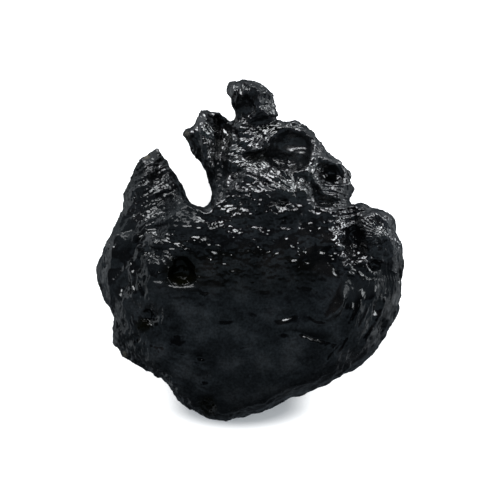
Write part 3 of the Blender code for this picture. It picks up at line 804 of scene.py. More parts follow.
LOBE = Zone(
    forms=(
        Ridge(0.24, 0.35, ((-23.2, 4.9), (-24.3, 1.1), (-24.5, -2.8), (-24.1, -7), (-23.8, -10.6),
                           (-23.2, -14.1), (-22.7, -16.9))),
        Ridge(0.18, 0.25, ((-22.4, 4.2), (-23.6, 0.7), (-23.8, -2.1))),
        Ridge(0.18, 0.25, ((-25, 0), (-25.7, -3.5), (-25.3, -7.4))),
        Ridge(0.21, 0.3, ((-20.8, -1.4), (-20.2, -4.6), (-20.1, -7), (-19.5, -9.5))),
        Ridge(0.18, 0.25, ((-19.4, -3.2), (-19, -6), (-18.3, -8.4))),
        Ridge(0.6, 0.9, ((-18.2, 2.6), (-16.2, 1.4), (-14.4, -0.6), (-13, -2.8))),
        Ridge(0.18, 0.25, ((-17.6, 0.4), (-15.8, 0.9), (-14.1, 0.4), (-13, -1.1))),
        Ridge(0.18, 0.25, ((-14.8, -8.1), (-11.6, -7.9), (-7.7, -8.1))),
        Ridge(-0.21, 0.3, ((-14.4, -5.6), (-12.3, -6), (-9.5, -5.6))),
        Ridge(-0.21, 0.3, ((-21.6, 4.9), (-19.9, 6.3), (-18.3, 7.4))),
        Ridge(0.21, 0.3, ((-22.5, 6.3), (-20.9, 7.2), (-19.7, 8.4))),
        Ridge(-0.18, 0.3, ((-21.6, -8.8), (-20.4, -10.2), (-20.8, -12.3))),
        Pad(-10.5, 5.4, 4.6, 3.2, 0.8), Pad(-11.6, -4.5, 2.6, 1.7, -1.2), Pad(-22, 5, 2.4, 1.8, 0.5),
        Pad(-15.6, -2.6, 3, 2.6, 0.7), Pad(-8.6, 2.4, 3.4, 2.4, 0.4), Pad(-13, 4.2, 3.6, 2.6, 0.8, -10),
        Pad(-22, -5.8, 0.9, 1.1, -0.24), Pad(-17.6, -11.3, 1.1, 1.1, -0.24),
        Pad(-7.9, -7, 0.9, 0.7, -0.21), Pad(-20.9, 6.3, 0.7, 0.7, 0.21), Pad(-16.2, 1.1, 1.1, 0.9, 0.21),
        Pad(-21.3, 0, 1.4, 2.8, -0.18), Pad(-19.4, -15.1, 1.1, 0.9, -0.18),
    ),
    flows=(
        Flow(Oval(-15.6, 0, 2.8, 2), 0.5, 0.05, turn=-12),
        Flow(Oval(-11.4, -7.2, 4, 1.4), 0.7, 0.04, turn=2),
        Flow(Oval(-24.8, -4, 1.4, 7), 0.55, 0.05, turn=92),
        Flow(Oval(-17, 3.6, 2.6, 1.8), 0.6, 0.04, turn=8),
    ),
    pits=(
        Pits(Oval(-15, 0.6, 3.4, 3.6), 160, 0.18, 0.4, 0.4, 81, 1.2, 0, 0.2),
        Pits(Oval(-19, -10, 5, 7), 90, 0.2, 0.5, 0.28, 82, 1.3, 80, 0.1),
        Pits(Oval(-21, -16, 3.4, 3.4), 50, 0.2, 0.5, 0.3, 83),
    ),
    grains=(
        Grain(Oval(-15.2, 0.4, 3.4, 3.6), 1, 0.04),
        Grain(Oval(-20, -6, 5, 12), 2.4, 0.12, 2, True, 84, 1.6),
        Grain(Oval(-19.5, -18, 5, 3, -35), 1.2, 0.1),
    ),
)
SPIRE = Zone(
    forms=(
        Ridge(-0.45, 0.3, ((-17.2, 12.3), (-15.8, 12.8), (-14.3, 13.6))),
        Ridge(-0.45, 0.3, ((-16.4, 9), (-14.8, 9.9), (-12.7, 10.6))),
        Ridge(-0.45, 0.3, ((-17.2, 6.9), (-15.8, 8.3), (-14.1, 9.2), (-12.3, 9.3))),
        Ridge(0.35, 0.3, ((-16.7, 7.7), (-15, 9), (-13, 9.9))),
        Ridge(-0.3, 0.25, ((-20.1, 12.7), (-18.3, 13.7), (-17.2, 14.8))),
        Ridge(0.3, 0.25, ((-20.4, 11.6), (-18.3, 12.7), (-16.2, 14.1))),
        Ridge(-0.3, 0.25, ((-19.4, 9.5), (-17.6, 10.2), (-16.5, 11.3))),
        Ridge(0.3, 0.25, ((-17.6, 4.9), (-15.5, 5.6), (-13, 6))),
        Ridge(-0.3, 0.25, ((-17.6, 3.5), (-15.1, 4), (-12.7, 4.2))),
        Ridge(0.3, 0.25, ((-15.8, 14.8), (-14.8, 13.7), (-13.9, 12.3))), Pad(-18.8, 15.8, 0.7, 0.7, 0.35),
        Pad(-12.5, 9.2, 0.7, 0.7, -0.3), Pad(-15.5, 11.3, 1.1, 0.7, 0.3, 20),
    ),
    flows=(Flow(Oval(-16.2, 10.4, 3.6, 5.6, 12), 0.75, 0.09, turn=24, wander=0.9),),
    pits=(Pits(Oval(-16.6, 9.5, 4, 6.5, 12), 420, 0.15, 0.35, 0.5, 91, 1.2, 20, 0.1),),
    grains=(Grain(Oval(-16.6, 10, 4.6, 7.5, 12), 0.8, 0.05, 2, True, 26, 2.6),),
)
ALL_OVER = Zone(
    pits=(
        Pits(None, 340, 0.5, 1.5, 0.3, 101, 1.2, 40), Pits(None, 1500, 0.2, 0.6, 0.45, 102, 1.2, 70),
    ),
    grains=(
        Grain(None, 2.6, 0.06), Grain(None, 0.55, 0.016), Grain(None, 2.2, 0.26, 3, sides=True),
        Grain(Oval(-14, -21, 13, 7, -32), 1.5, 0.3, 2, True, sides=True),
        Grain(Oval(-20, 10, 4, 12, -10), 1.2, 0.2, 2, True, sides=True),
    ),
)
ZONES = (HEAD, BLADE, KNOB, EAR, FLANK, BODY, LOBE, SPIRE, ALL_OVER)

STREAM = Stream((
    Current(-0.8, 25.5, 86, 0.101, 2), Current(2.8, 26.4, 48, 0.068, 1.6),
    Current(1.8, 28.6, -30, 0.081, 1.4), Current(1.5, 22.8, 15, 0.081, 1.6),
    Current(-7.2, 21, -55, 0.101, 1.8), Current(-4.4, 20, -58, 0.047, 2), Current(-7, 14.5, 78, 0.081, 2),
    Current(-1.2, 18.6, 40, 0.108, 2), Current(2, 19.2, 58, 0.121, 2), Current(-1, 15.2, -20, 0.108, 2.4),
    Current(3.4, 14.4, -50, 0.121, 2.4), Current(-3.8, 12, -32, 0.03, 2),
    Current(2, 10.4, -18, 0.095, 2.6), Current(7, 18.4, 6, 0.024, 3.2),
    Current(8.4, 22.4, -14, 0.081, 1.6), Current(13.6, 18.6, -48, 0.081, 2.2),
    Current(9.6, 12.6, 70, 0.095, 2), Current(11.6, 15.4, 38, 0.081, 1.6),
    Current(16.6, 12.8, -60, 0.081, 1.8), Current(13.8, 12.4, 20, 0.041, 1.6),
    Current(14.4, 9.6, -8, 0.088, 2.2), Current(-2, 6.6, 2, 0.02, 3), Current(8, 6, -6, 0.02, 3),
    Current(-8.6, 6.6, -10, 0.03, 2.4), Current(19.6, 5, 20, 0.101, 2.4),
    Current(24.6, 3.4, -62, 0.095, 2.2), Current(18, -1, 50, 0.04, 2.4),
    Current(25.2, -4.4, 96, 0.088, 2.4), Current(17.6, -8.8, 74, 0.03, 3),
    Current(22.8, -10.6, 68, 0.035, 3), Current(17.8, -17.6, 54, 0.061, 3.6),
    Current(11, -21.8, 30, 0.027, 3.4), Current(0, 0, 2, 0.008, 5), Current(10, -4, -30, 0.01, 4),
    Current(0, -14, 14, 0.004, 7), Current(-12, -22, -34, 0.041, 3.4), Current(-20, -15, -70, 0.061, 3.4),
    Current(-19.6, -7, 86, 0.025, 3.4), Current(-24, -4, 88, 0.04, 2.6),
    Current(-15.6, 1.2, -12, 0.04, 2.4), Current(-11.4, -7, 2, 0.03, 2),
    Current(-20.4, 4.6, 66, 0.02, 2.6), Current(-16.8, 6.6, 22, 0.045, 2.6),
    Current(-16.6, 11.6, 26, 0.075, 2.8), Current(-17.6, 15.6, 40, 0.081, 2),
))
PULLS = (
    Pull(-16.7, 17.6, 2.4, 0.55, 0.6), Pull(-15, 15.5, 2.4, 0.4, 0.3), Pull(-6.7, 24.4, 2.4, 0.15, 0.45),
    Pull(-4.8, 23.4, 2.4, 0.2, 0.5), Pull(-2.8, 29.8, 2.4, 0.1, -0.45), Pull(4.2, 28.4, 2, 0.25, 0.1),
    Pull(10.4, 22, 2, -0.25, -0.3), Pull(16.9, 14, 3.2, 0.4, 0.3), Pull(23.6, 7, 2.8, 0.2, 0.4),
    Pull(-24.6, -15, 2.6, 0.45, 0.1), Pull(-22, -19, 2.8, 0.2, 0.4), Pull(-15, -25, 3.6, 0.3, 0.35),
    Pull(-10.5, -28.6, 3.6, 0.1, 0.35), Pull(6, -26.6, 5, -0.1, 0.3), Pull(-9, 14.6, 4.4, 0.4, 0.1),
    Pull(-8.8, 7.4, 3.4, 0, -0.5),
)
WEAR = (
    Wear(Oval(0, -13, 19, 14), 0.12), Wear(Oval(0, 4.6, 14, 3.6), 0.35),
    Wear(Oval(-1.5, 15.5, 4.6, 6.6), 1), Wear(Oval(6, 10.6, 8, 2.8, -12), 0.8),
    Wear(Oval(-7.6, 17, 2, 7.5, 12), 0.75), Wear(Oval(1.4, 26, 3.8, 4.4), 0.85),
    Wear(Oval(8, 22.4, 7, 1.5, -20), 0.95), Wear(Oval(14.6, 16, 4.6, 2.2, -48), 0.85),
    Wear(Oval(10.6, 13, 2, 3, 10), 0.8), Wear(Oval(14.6, 9.4, 3.6, 2, -8), 0.7),
    Wear(Oval(23, 2.6, 3.6, 5), 0.95), Wear(Oval(17.6, 0, 2.6, 6), 0.4), Wear(Oval(16.2, 1, 1.2, 4.6), 1),
    Wear(Oval(20.5, -4, 3.4, 2.6), 0.2), Wear(Oval(-16.8, 9.4, 4.2, 7.6, 12), 0.7),
    Wear(Oval(-15.4, 0.6, 2.6, 2.6), 0.6), Wear(Oval(7, 17.6, 3.6, 2.8), 1.8),
    Wear(Oval(-22.5, -6, 3, 9, 4), 0.4), Wear(Oval(20, -13, 4, 8, -24), 0.05),
    Wear(Oval(-4.7, 12.2, 1.2, 2.8, 12), 0.5), Wear(Oval(-4.6, 19.4, 0.9, 2.4, 8), 0.2),
)
# Painted highlights (below 0) and painted shade (above 0) on the face; the olive and ochre patches also
# tint the glass like earth.
EARTH_AND_SHEEN_PATCHES = (
    EarthAndSheenPatch(Oval(2, 13, 13, 11), -0.1), EarthAndSheenPatch(Oval(-2, 17, 5, 6), -0.2), EarthAndSheenPatch(Oval(-7, 21, 1.4, 2.4), -0.6),
    EarthAndSheenPatch(Oval(8.6, 9.9, 3.4, 2.4), -0.35), EarthAndSheenPatch(Oval(15.4, 15, 2.6, 2.6), -0.35),
    EarthAndSheenPatch(Oval(16.2, 1, 1.4, 4.6), -0.5), EarthAndSheenPatch(Oval(23.5, 2.2, 3.2, 3.6), -0.7),
    EarthAndSheenPatch(Oval(26, -10.9, 1.2, 3.4), -0.9), EarthAndSheenPatch(Oval(-2.5, 26, 1.4, 2.6), -0.4),
    EarthAndSheenPatch(Oval(1.2, 16.4, 2.4, 1), 0.5, EarthAndShade.OLIVE), EarthAndSheenPatch(Oval(-1, -3.6, 14, 4.4), 0.25, EarthAndShade.OLIVE),
    EarthAndSheenPatch(Oval(-7.2, -27, 1.6, 2.2), 0.75, EarthAndShade.OLIVE), EarthAndSheenPatch(Oval(-15.4, -3.4, 4, 4.4), 0.35, EarthAndShade.DARK),
    EarthAndSheenPatch(Oval(-16.5, 10.2, 4.4, 7.4, 12), 0.45, EarthAndShade.DARK), EarthAndSheenPatch(Oval(-21.8, 3.4, 2, 2.6), 0.75),
    EarthAndSheenPatch(Oval(-12, 6, 3.6, 2.4), 0.75), EarthAndSheenPatch(Oval(-15.6, 4.6, 2.4, 2), 0.5),
    EarthAndSheenPatch(Oval(-16.4, -2.2, 2.6, 1.4), 0.5), EarthAndSheenPatch(Oval(-22.5, -11, 2.4, 7), 0.3),
    EarthAndSheenPatch(Oval(-18.2, -12.9, 1.4, 1.2), 0.8, EarthAndShade.OLIVE), EarthAndSheenPatch(Oval(-5.6, 11.6, 1.4, 3.4), 0.75),
    EarthAndSheenPatch(Oval(17.1, -6.6, 1.4, 2.2), 0.9), EarthAndSheenPatch(Oval(23.4, -5.3, 2.2, 2.6), 0.85),
    EarthAndSheenPatch(Oval(19.8, -6.4, 2, 1.4), 0.6), EarthAndSheenPatch(Oval(-16.2, -5.6, 1.8, 0.7), 0.8),
    EarthAndSheenPatch(Oval(-11.4, -6, 2.8, 0.9), 0.8), EarthAndSheenPatch(Oval(-11.6, -3.6, 2.9, 2.6), 0.5, EarthAndShade.OLIVE),
    EarthAndSheenPatch(Oval(-11.6, -4.9, 1.6, 1), 0.95, EarthAndShade.OLIVE),
    EarthAndSheenPatch(Oval(-11.1, 19.9, 0.7, 0.9), 0.6, EarthAndShade.OCHRE),
    EarthAndSheenPatch(Oval(-18.2, 16.4, 0.6, 0.5), 0.7, EarthAndShade.OCHRE),
    EarthAndSheenPatch(Oval(-21.8, -18.2, 0.5, 0.6), 0.6, EarthAndShade.OCHRE),
)


class Wiring:
    """Adds nodes to a shader's tree and wires them to each other."""

    def __init__(self, tree: bpy.types.NodeTree) -> None:
        """Takes the tree that it works on."""
        self.tree = tree

    def feed(self, node: bpy.types.Node, feeds: dict[str | int, Feed]) -> None:
        """Sets some of a node's inputs.

        Args:
            node: the node.
            feeds: for each input, its value or the socket that it comes from.
        """
        for name, feed in feeds.items():
            if isinstance(feed, bpy.types.NodeSocket):
                self.tree.links.new(feed, node.inputs[name])
            else:
                node.inputs[name].default_value = feed

    def add(self, kind: str, feeds: dict[str | int, Feed] | None = None,
            **settings: object) -> bpy.types.bpy_prop_collection:
        """Adds a node.

        Args:
            kind: the node's type, without the ShaderNode in front.
            feeds: for each input, its value or the socket that it comes from.
            settings: the node's own properties.

        Returns:
            The node's outputs.
        """
        node = self.tree.nodes.new(f"ShaderNode{kind}")
        for name, value in settings.items():
            setattr(node, name, value)
        self.feed(node, feeds or {})
        return node.outputs

    def number(self, operation: str, *values: Feed, **settings: object) -> bpy.types.NodeSocket:
        """Reckons with numbers."""
        return self.add("Math", dict(enumerate(values)), operation=operation, **settings)["Value"]

    def vector(self, operation: str, *values: Feed, out: str = "Vector") -> bpy.types.NodeSocket:
        """Reckons with vectors."""
        return self.add("VectorMath", dict(enumerate(values)), operation=operation)[out]

    def spread(self, *values: Feed, **settings: object) -> bpy.types.NodeSocket:
        """Spreads a value from its low and high, which follow it, over 0 to 1 or a new low and high."""
        names = ("Value", "From Min", "From Max", "To Min", "To Max")
        return self.add("MapRange", dict(zip(names, values)), **settings)["Result"]

    def noise(self, place: bpy.types.NodeSocket, scale: float, detail: float) -> bpy.types.NodeSocket:
        """Soft noise with so many lumps to a metre."""
        return self.add("TexNoise", {"Vector": place, "Scale": scale, "Detail": detail})["Fac"]

    def blend(self, share: Feed, first: Feed, second: Feed) -> bpy.types.NodeSocket:
        """A colour between two others."""
        first, second = ((*end, 1) if isinstance(end, tuple) else end for end in (first, second))
        return self.add("Mix", {"Factor": share, "A": first, "B": second}, data_type="RGBA")["Result"]


@dataclass(frozen=True)
class DrawnLines:
    """A node group that draws hair-fine lines along the way the glass ran."""

    name: str = "drawn lines"
    width: float = 0.00045  # metres from line to line
    length: float = 0.0018

    def build(self) -> bpy.types.ShaderNodeTree:
        """Makes the group.

        Returns:
            The group. It takes a place and the pull there (the cosine and sine of twice the lines'
            direction, then their strength) and puts out a height.
        """
        tree = bpy.data.node_groups.new(self.name, "ShaderNodeTree")
        for socket in ("Place", "Pull"):
            tree.interface.new_socket(socket, in_out="INPUT", socket_type="NodeSocketVector")
        tree.interface.new_socket("Height", in_out="OUTPUT", socket_type="NodeSocketFloat")
        wiring = Wiring(tree)
        given, out = tree.nodes.new("NodeGroupInput"), tree.nodes.new("NodeGroupOutput")
        pull = wiring.add("SeparateXYZ", {"Vector": given.outputs["Pull"]})
        stretch = (1 / self.length, 1 / self.width, 1 / self.length)
        height = 0.0
        for turn, axis, sign in ((0, "X", 1), (45, "Y", 1), (90, "X", -1), (135, "Y", -1)):
            turned = {"Vector": given.outputs["Place"], "Angle": math.radians(-turn)}
            turned = wiring.add("VectorRotate", turned, rotation_type="Z_AXIS")["Vector"]
            lines = wiring.noise(wiring.vector("MULTIPLY", turned, stretch), 1, 0)
            facing = wiring.number("MULTIPLY", pull[axis], sign, use_clamp=True)
            height = wiring.number("MULTIPLY_ADD", lines, wiring.number("POWER", facing, 2), height)
        wiring.feed(out, {"Height": wiring.number("MULTIPLY", height, pull["Z"])})
        return tree


@dataclass(frozen=True)
class BlackGlass:
    """Natural glass, black in the lump and dulled where it has worn, with painted shade where its
    reflection is dulled and painted highlights where it is raised, some patches tinted like earth.
    """

    name: str = "black glass"
    deep: Colour = (0.0003, 0.00036, 0.00045)
    warm: Colour = (0.0055, 0.0051, 0.0050)
    frost: Colour = (0.0050, 0.0055, 0.0062)
    polish: float = 0.09
    satin: float = 0.19
    refraction: float = 1.5
    shine: float = 0.5  # of clean glass
    clouds: float = 260.0  # cloudy patches in a metre
    warmed: tuple[float, float] = (0.5, 0.72)  # where a cloud starts to be warm, and where it's full
    clouded: Span = (0.36, 0.64, 0.60, 1.45)  # from the clouds to how much the glass shines
    specks: float = 2500.0  # specks in a metre
    specked: Span = (0.32, 0.68, 0.68, 1.35)  # from the specks to how much the glass shines
    blotches: float = 420.0  # uneven patches of wear in a metre
    blotched: float = 0.6  # how uneven the wear is
    worn: tuple[float, float] = (0.3, 1.3)  # the wear that is polished, and the wear that is satin
    etch_size: float = 0.00055  # metres between the finest etch marks
    etch_height: float = 0.00011
    lines: DrawnLines = field(default_factory=DrawnLines)
    lines_height: float = 0.00009

    def build(self) -> bpy.types.Material:
        """Makes the material.

        Returns:
            The material, with a plain Principled BSDF at its end.
        """
        material = bpy.data.materials.new(self.name)
        material.use_nodes = True
        wiring = Wiring(material.node_tree)
        names = (WEAR_NAME, EARTH_AND_SHEEN_NAME, EARTH_AND_SHADE_NAME, PULL_NAME)
        wear, earth_and_painted_sheen, earth_and_shade, pull = (wiring.add("Attribute", attribute_name=name) for name in names)
        wear, earth_and_painted_sheen = wear["Fac"], earth_and_painted_sheen["Fac"]
        place = wiring.add("TexCoord")["Object"]
        cloud = wiring.noise(place, self.clouds, 4)
        tint = wiring.blend(wiring.spread(cloud, *self.warmed), self.deep, self.warm)
        frosted = wiring.blend(wear, tint, self.frost)
        # painted shade and painted highlights: the patches dull or raise how strongly the glass reflects
        shine = wiring.spread(earth_and_painted_sheen, 0, 1, self.shine, 0, clamp=False)
        shine = wiring.number("MULTIPLY", shine, wiring.spread(cloud, *self.clouded))
        specks = wiring.noise(place, self.specks, 1)
        shine = wiring.number("MULTIPLY", shine, wiring.spread(specks, *self.specked))
        uneven = wiring.number("MULTIPLY_ADD", wiring.noise(place, self.blotches, 5), self.blotched, wear)
        etched = wiring.add("Bump", {
            "Strength": wiring.number("PINGPONG", wear, 1),  # past 1, wear takes the marks away again
            "Distance": self.etch_height,
            "Height": wiring.noise(place, 1 / self.etch_size, 0),
        })["Normal"]
        lines = {"Place": place, "Pull": pull["Vector"]}
        lines = wiring.add("Group", lines, node_tree=self.lines.build())["Height"]
        grooved = {"Height": lines, "Distance": self.lines_height, "Normal": etched}
        wiring.feed(material.node_tree.nodes["Principled BSDF"], {
            # the base colour under the painted shade, earth-tinted in places
            "Base Color": wiring.blend(earth_and_painted_sheen, frosted, earth_and_shade["Color"]),
            "Roughness": wiring.spread(uneven, *self.worn, self.polish, self.satin, clamp=False),
            "IOR": self.refraction,
            "Specular IOR Level": shine,
            "Normal": wiring.add("Bump", grooved)["Normal"],
        })
        return material


@dataclass(frozen=True)
class PaleTable:
    """The matt, pale finish of the table, with a painted glow that whitens it and washes out its shadows
    but for a patch under the toe, where the real shadow shows.
    """

    name: str = "pale table"
    colour: Colour = (0.9, 0.9, 0.9)
    roughness: float = 0.9
    # strength of the glow painted into the table, which is no lamp
    glow: float = 0.8
    unlit: tuple[float, float] = (-0.0018, -0.0282)  # middle of the patch where the painted glow fades out
    unlit_half: tuple[float, float] = (0.0084, 0.0027)
    fade: tuple[float, float] = (0.9, 1.8)  # where the patch's fading starts and ends, in half widths
    tail: float = 0.17  # how quickly the patch fades under the stone, with its fading past the toe as 1

    def build(self) -> bpy.types.Material:
        """Makes the material.

        Returns:
            The material.
        """
        material = bpy.data.materials.new(self.name)
        material.use_nodes = True
        wiring = Wiring(material.node_tree)
        (x, y), (half_width, half_height) = self.unlit, self.unlit_half
        patch = wiring.add("Mapping", {
            "Vector": wiring.add("TexCoord")["Object"],
            "Location": (-x / half_width, -y / half_height, 0),
            "Scale": (1 / half_width, 1 / half_height, 1),
        })["Vector"]
        under = wiring.vector("MULTIPLY", patch, (1, self.tail, 0))
        beyond = wiring.vector("MULTIPLY", patch, (-1, -1, 0))
        far = wiring.vector("LENGTH", wiring.vector("MAXIMUM", under, beyond), out="Value")
        # the painted glow: emission that whitens the table and hides its shadows, fading out over the patch
        painted_glow = wiring.spread(far, *self.fade, 0, self.glow, interpolation_type="SMOOTHSTEP")
        wiring.feed(material.node_tree.nodes["Principled BSDF"], {
            "Base Color": (*self.colour, 1),
            "Roughness": self.roughness,
            "Specular IOR Level": 0.0,
            "Emission Color": (1, 1, 1, 1),
            "Emission Strength": painted_glow,
        })
        return material


@dataclass
class Tektite:
    """The stone's visible skin, worked up from the plain solid that the frame holds."""

    voxel: float = 0.15  # millimetres
    triangles: int = 196000
    soften: int = 12
    back_triangles: int = 60_000  # kept on the back and the sides by the first thinning
    drawn: float = 0.09  # height of the stream's lines, in millimetres, where the finest lines are full
    zones: tuple[Zone, ...] = ZONES
    finish: BlackGlass = field(default_factory=BlackGlass)

    def rough_copy(self) -> bpy.types.Object:
        """Copies the frame's solid, in millimetres, with an even and dense skin.

        Returns:
            The stone's object.
        """
        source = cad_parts[NODE]
        work = bmesh.new()
        work.from_mesh(source.data)
        bmesh.ops.remove_doubles(work, verts=work.verts, dist=WELD)
        bmesh.ops.scale(work, vec=(1 / MILLIMETRE,) * 3, verts=work.verts)
        mesh = bpy.data.meshes.new("tektite skin")
        work.to_mesh(mesh)
        work.free()
        stone = bpy.data.objects.new("tektite_skin", mesh)
        bpy.context.scene.collection.objects.link(stone)
        remesh = stone.modifiers.new("Even skin", "REMESH")
        remesh.mode = "VOXEL"
        remesh.voxel_size = self.voxel
        smooth = stone.modifiers.new("Soften facets", "SMOOTH")
        smooth.factor = 0.5
        smooth.iterations = self.soften
        self.bake_modifiers(stone)
        return stone

    @staticmethod
    def bake_modifiers(stone: bpy.types.Object) -> None:
        """Puts the stone's modifiers into its mesh.

        Args:
            stone: the object to change.
        """
        graph = bpy.context.evaluated_depsgraph_get()
        mesh = bpy.data.meshes.new_from_object(stone.evaluated_get(graph))
        stone.modifiers.clear()
        stone.data = mesh

    @staticmethod
    def read_skin(mesh: bpy.types.Mesh) -> Skin:
        """Reads the mesh's points and normals, and the trees that find points near a place.

        Args:
            mesh: the stone's mesh.

        Returns:
            The skin as it is now.
        """
        count = len(mesh.vertices)
        points, normals = np.empty(3 * count), np.empty(3 * count)
        mesh.vertices.foreach_get("co", points)
        mesh.vertex_normals.foreach_get("vector", normals)
        points, normals = points.reshape(-1, 3), normals.reshape(-1, 3)
        tree = KDTree(count)
        for index, point in enumerate(points):
            tree.insert(point, index)
        tree.balance()
        top = np.flatnonzero(normals[:, 2] > 0.1)
        top_tree = KDTree(len(top))
        for index, place in enumerate(points[top, :2]):
            top_tree.insert((*place, 0), index)
        top_tree.balance()
        return Skin(points, normals, tree, top_tree, top)

    @staticmethod
    def push(mesh: bpy.types.Mesh, skin: Skin, lift: np.ndarray | float) -> None:
        """Moves the skin's points along their normals, and keeps them above the floor.

        Args:
            mesh: the stone's mesh.
            skin: the skin before the move.
            lift: how far each point moves, in millimetres.
        """
        lift = np.where(skin.points[:, 2] < RESTING, 0.0, lift)
        moved = skin.points + lift[:, None] * skin.normals
        moved[:, 2] = np.maximum(moved[:, 2], 0)
        mesh.vertices.foreach_set("co", moved.ravel())
        mesh.update()

    def sculpt(self, mesh: bpy.types.Mesh) -> None:
        """Works every zone's marks into the mesh, from the broad forms to the finest.

        Args:
            mesh: the stone's mesh.
        """
        skin = self.read_skin(mesh)
        moved = skin.points + sum(pull.shift(skin) for pull in PULLS)
        mesh.vertices.foreach_set("co", moved.ravel())
        mesh.update()
        for kind in ("forms", "flows", "grains", "pits"):
            skin = self.read_skin(mesh)
            marks = [mark for zone in self.zones for mark in getattr(zone, kind)]
            marks += [STREAM] if kind == "flows" else []
            lift = np.zeros(len(skin.points))
            for mark in marks:
                lift += mark.lift(skin)
            self.push(mesh, skin, lift)
            LOG.info("%s: %d marks, %.2f to %.2f mm", kind, len(marks), lift.min(), lift.max())

    def thin_out(self, stone: bpy.types.Object) -> None:
        """Brings the stone's mesh under its number of triangles, keeping what is sharp.

        Args:
            stone: the object to change.
        """
        back = stone.vertex_groups.new(name="back and sides")
        up = np.empty(3 * len(stone.data.vertices))
        stone.data.vertex_normals.foreach_get("vector", up)
        turned_away = up[2::3] < FACE_SLOPE
        back.add(np.flatnonzero(turned_away).tolist(), 1.0, "REPLACE")
        face = 2 * len(stone.data.polygons) * (1 - turned_away.mean())
        for group, wanted in ((back.name, face + self.back_triangles), ("", self.triangles)):
            count = sum(len(polygon.vertices) - 2 for polygon in stone.data.polygons)
            thin = stone.modifiers.new("Thin out", "DECIMATE")
            thin.use_collapse_triangulate = True
            thin.ratio = min(1.0, wanted / count)
            thin.vertex_group = group
            self.bake_modifiers(stone)

    def note(self, mesh: bpy.types.Mesh) -> None:
        """Writes down how dull each point of the skin is, its painted shade or painted highlight and the
        base colour under it, and which way its fine lines run.

        Args:
            mesh: the stone's mesh, in millimetres.
        """
        skin = self.read_skin(mesh)
        dulled = np.zeros(len(skin.points))
        for wear in WEAR:
            dulled += (wear.dulled - dulled) * wear.patch.weight(skin)
        # painted shade and highlights, and the base colour under them
        earth_and_painted_sheen, earth_and_shade = np.zeros(len(skin.points)), np.tile(EarthAndShade.GREY.value, (len(skin.points), 1))
        for earth_and_sheen_patch in EARTH_AND_SHEEN_PATCHES:
            weight = earth_and_sheen_patch.patch.weight(skin)
            earth_and_painted_sheen += (earth_and_sheen_patch.earth_and_painted_sheen - earth_and_painted_sheen) * weight
            earth_and_shade += (np.array(earth_and_sheen_patch.earth_and_shade.value) - earth_and_shade) * weight[:, None]
        way, height = STREAM.ways(skin.places)
        doubled = (way[:, 0] + 1j * way[:, 1]) ** 2
        strength = np.clip(height / self.drawn, 0, 1.3) * skin.facing
        pull = np.column_stack([doubled.real, doubled.imag, strength])
        written = ((WEAR_NAME, dulled), (EARTH_AND_SHEEN_NAME, earth_and_painted_sheen), (EARTH_AND_SHADE_NAME, earth_and_shade), (PULL_NAME, pull))
        for name, notes in written:
            kind, key = ("FLOAT", "value") if notes.ndim == 1 else ("FLOAT_VECTOR", "vector")
            mesh.attributes.new(name, kind, "POINT").data.foreach_set(key, notes.ravel())

    def build(self) -> bpy.types.Object:
        """Makes the whole stone and hands it to the frame.

        Returns:
            The stone's object.
        """
        stone = self.rough_copy()
        self.sculpt(stone.data)
        self.thin_out(stone)
        self.push(stone.data, self.read_skin(stone.data), 0.0)
        self.note(stone.data)
        stone.data.transform(Matrix.Scale(MILLIMETRE, 4))
        stone.data.shade_smooth()
        stone.data.materials.clear()
        stone.data.materials.append(self.finish.build())
        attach(stone, "root")
        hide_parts(NODE)
        return stone


def direction(turn: float, rise: float) -> Vector:
    """The direction that is so many degrees from +X and so many above the table."""
    turn, rise = math.radians(turn), math.radians(rise)
    return Vector((math.cos(turn) * math.cos(rise), math.sin(turn) * math.cos(rise), math.sin(rise)))


@dataclass(frozen=True)
class SoftBox:
    """A soft studio light that faces the stone."""

    name: str
    turn: float  # compass direction from the stone, in degrees from +X
    rise: float  # degrees above the table
    away: float
    width: float
    height: float
    glow: float  # brightness of its face, with the picture's white as 1
    colour: Colour = (1.0, 1.0, 1.0)
    mirrored: bool = True  # whether the polished glass shows it

    def build(self) -> bpy.types.Object:
        """Makes the light.

        Returns:
            The light's object.
        """
        light = bpy.data.lights.new(self.name, "AREA")
        light.shape = "RECTANGLE"
        light.size, light.size_y = self.width, self.height
        light.energy = self.glow * math.pi * self.width * self.height
        light.color = self.colour
        lamp = bpy.data.objects.new(self.name, light)
        lamp.visible_glossy = self.mirrored
        way = direction(self.turn, self.rise)
        lamp.location = self.away * way
        lamp.rotation_euler = (-way).to_track_quat("-Z", "Y").to_euler()
        bpy.context.scene.collection.objects.link(lamp)
        return lamp


@dataclass(frozen=True)
class Glow:
    """A soft patch of light on the studio's walls, with no hard edge."""

    turn: float  # compass direction from the stone, in degrees from +X
    rise: float  # degrees above the table
    reach: float  # degrees from its middle to where it has faded out
    glow: float  # brightness of its middle, with the picture's white as 1
    colour: Colour = (0.92, 0.97, 1.0)


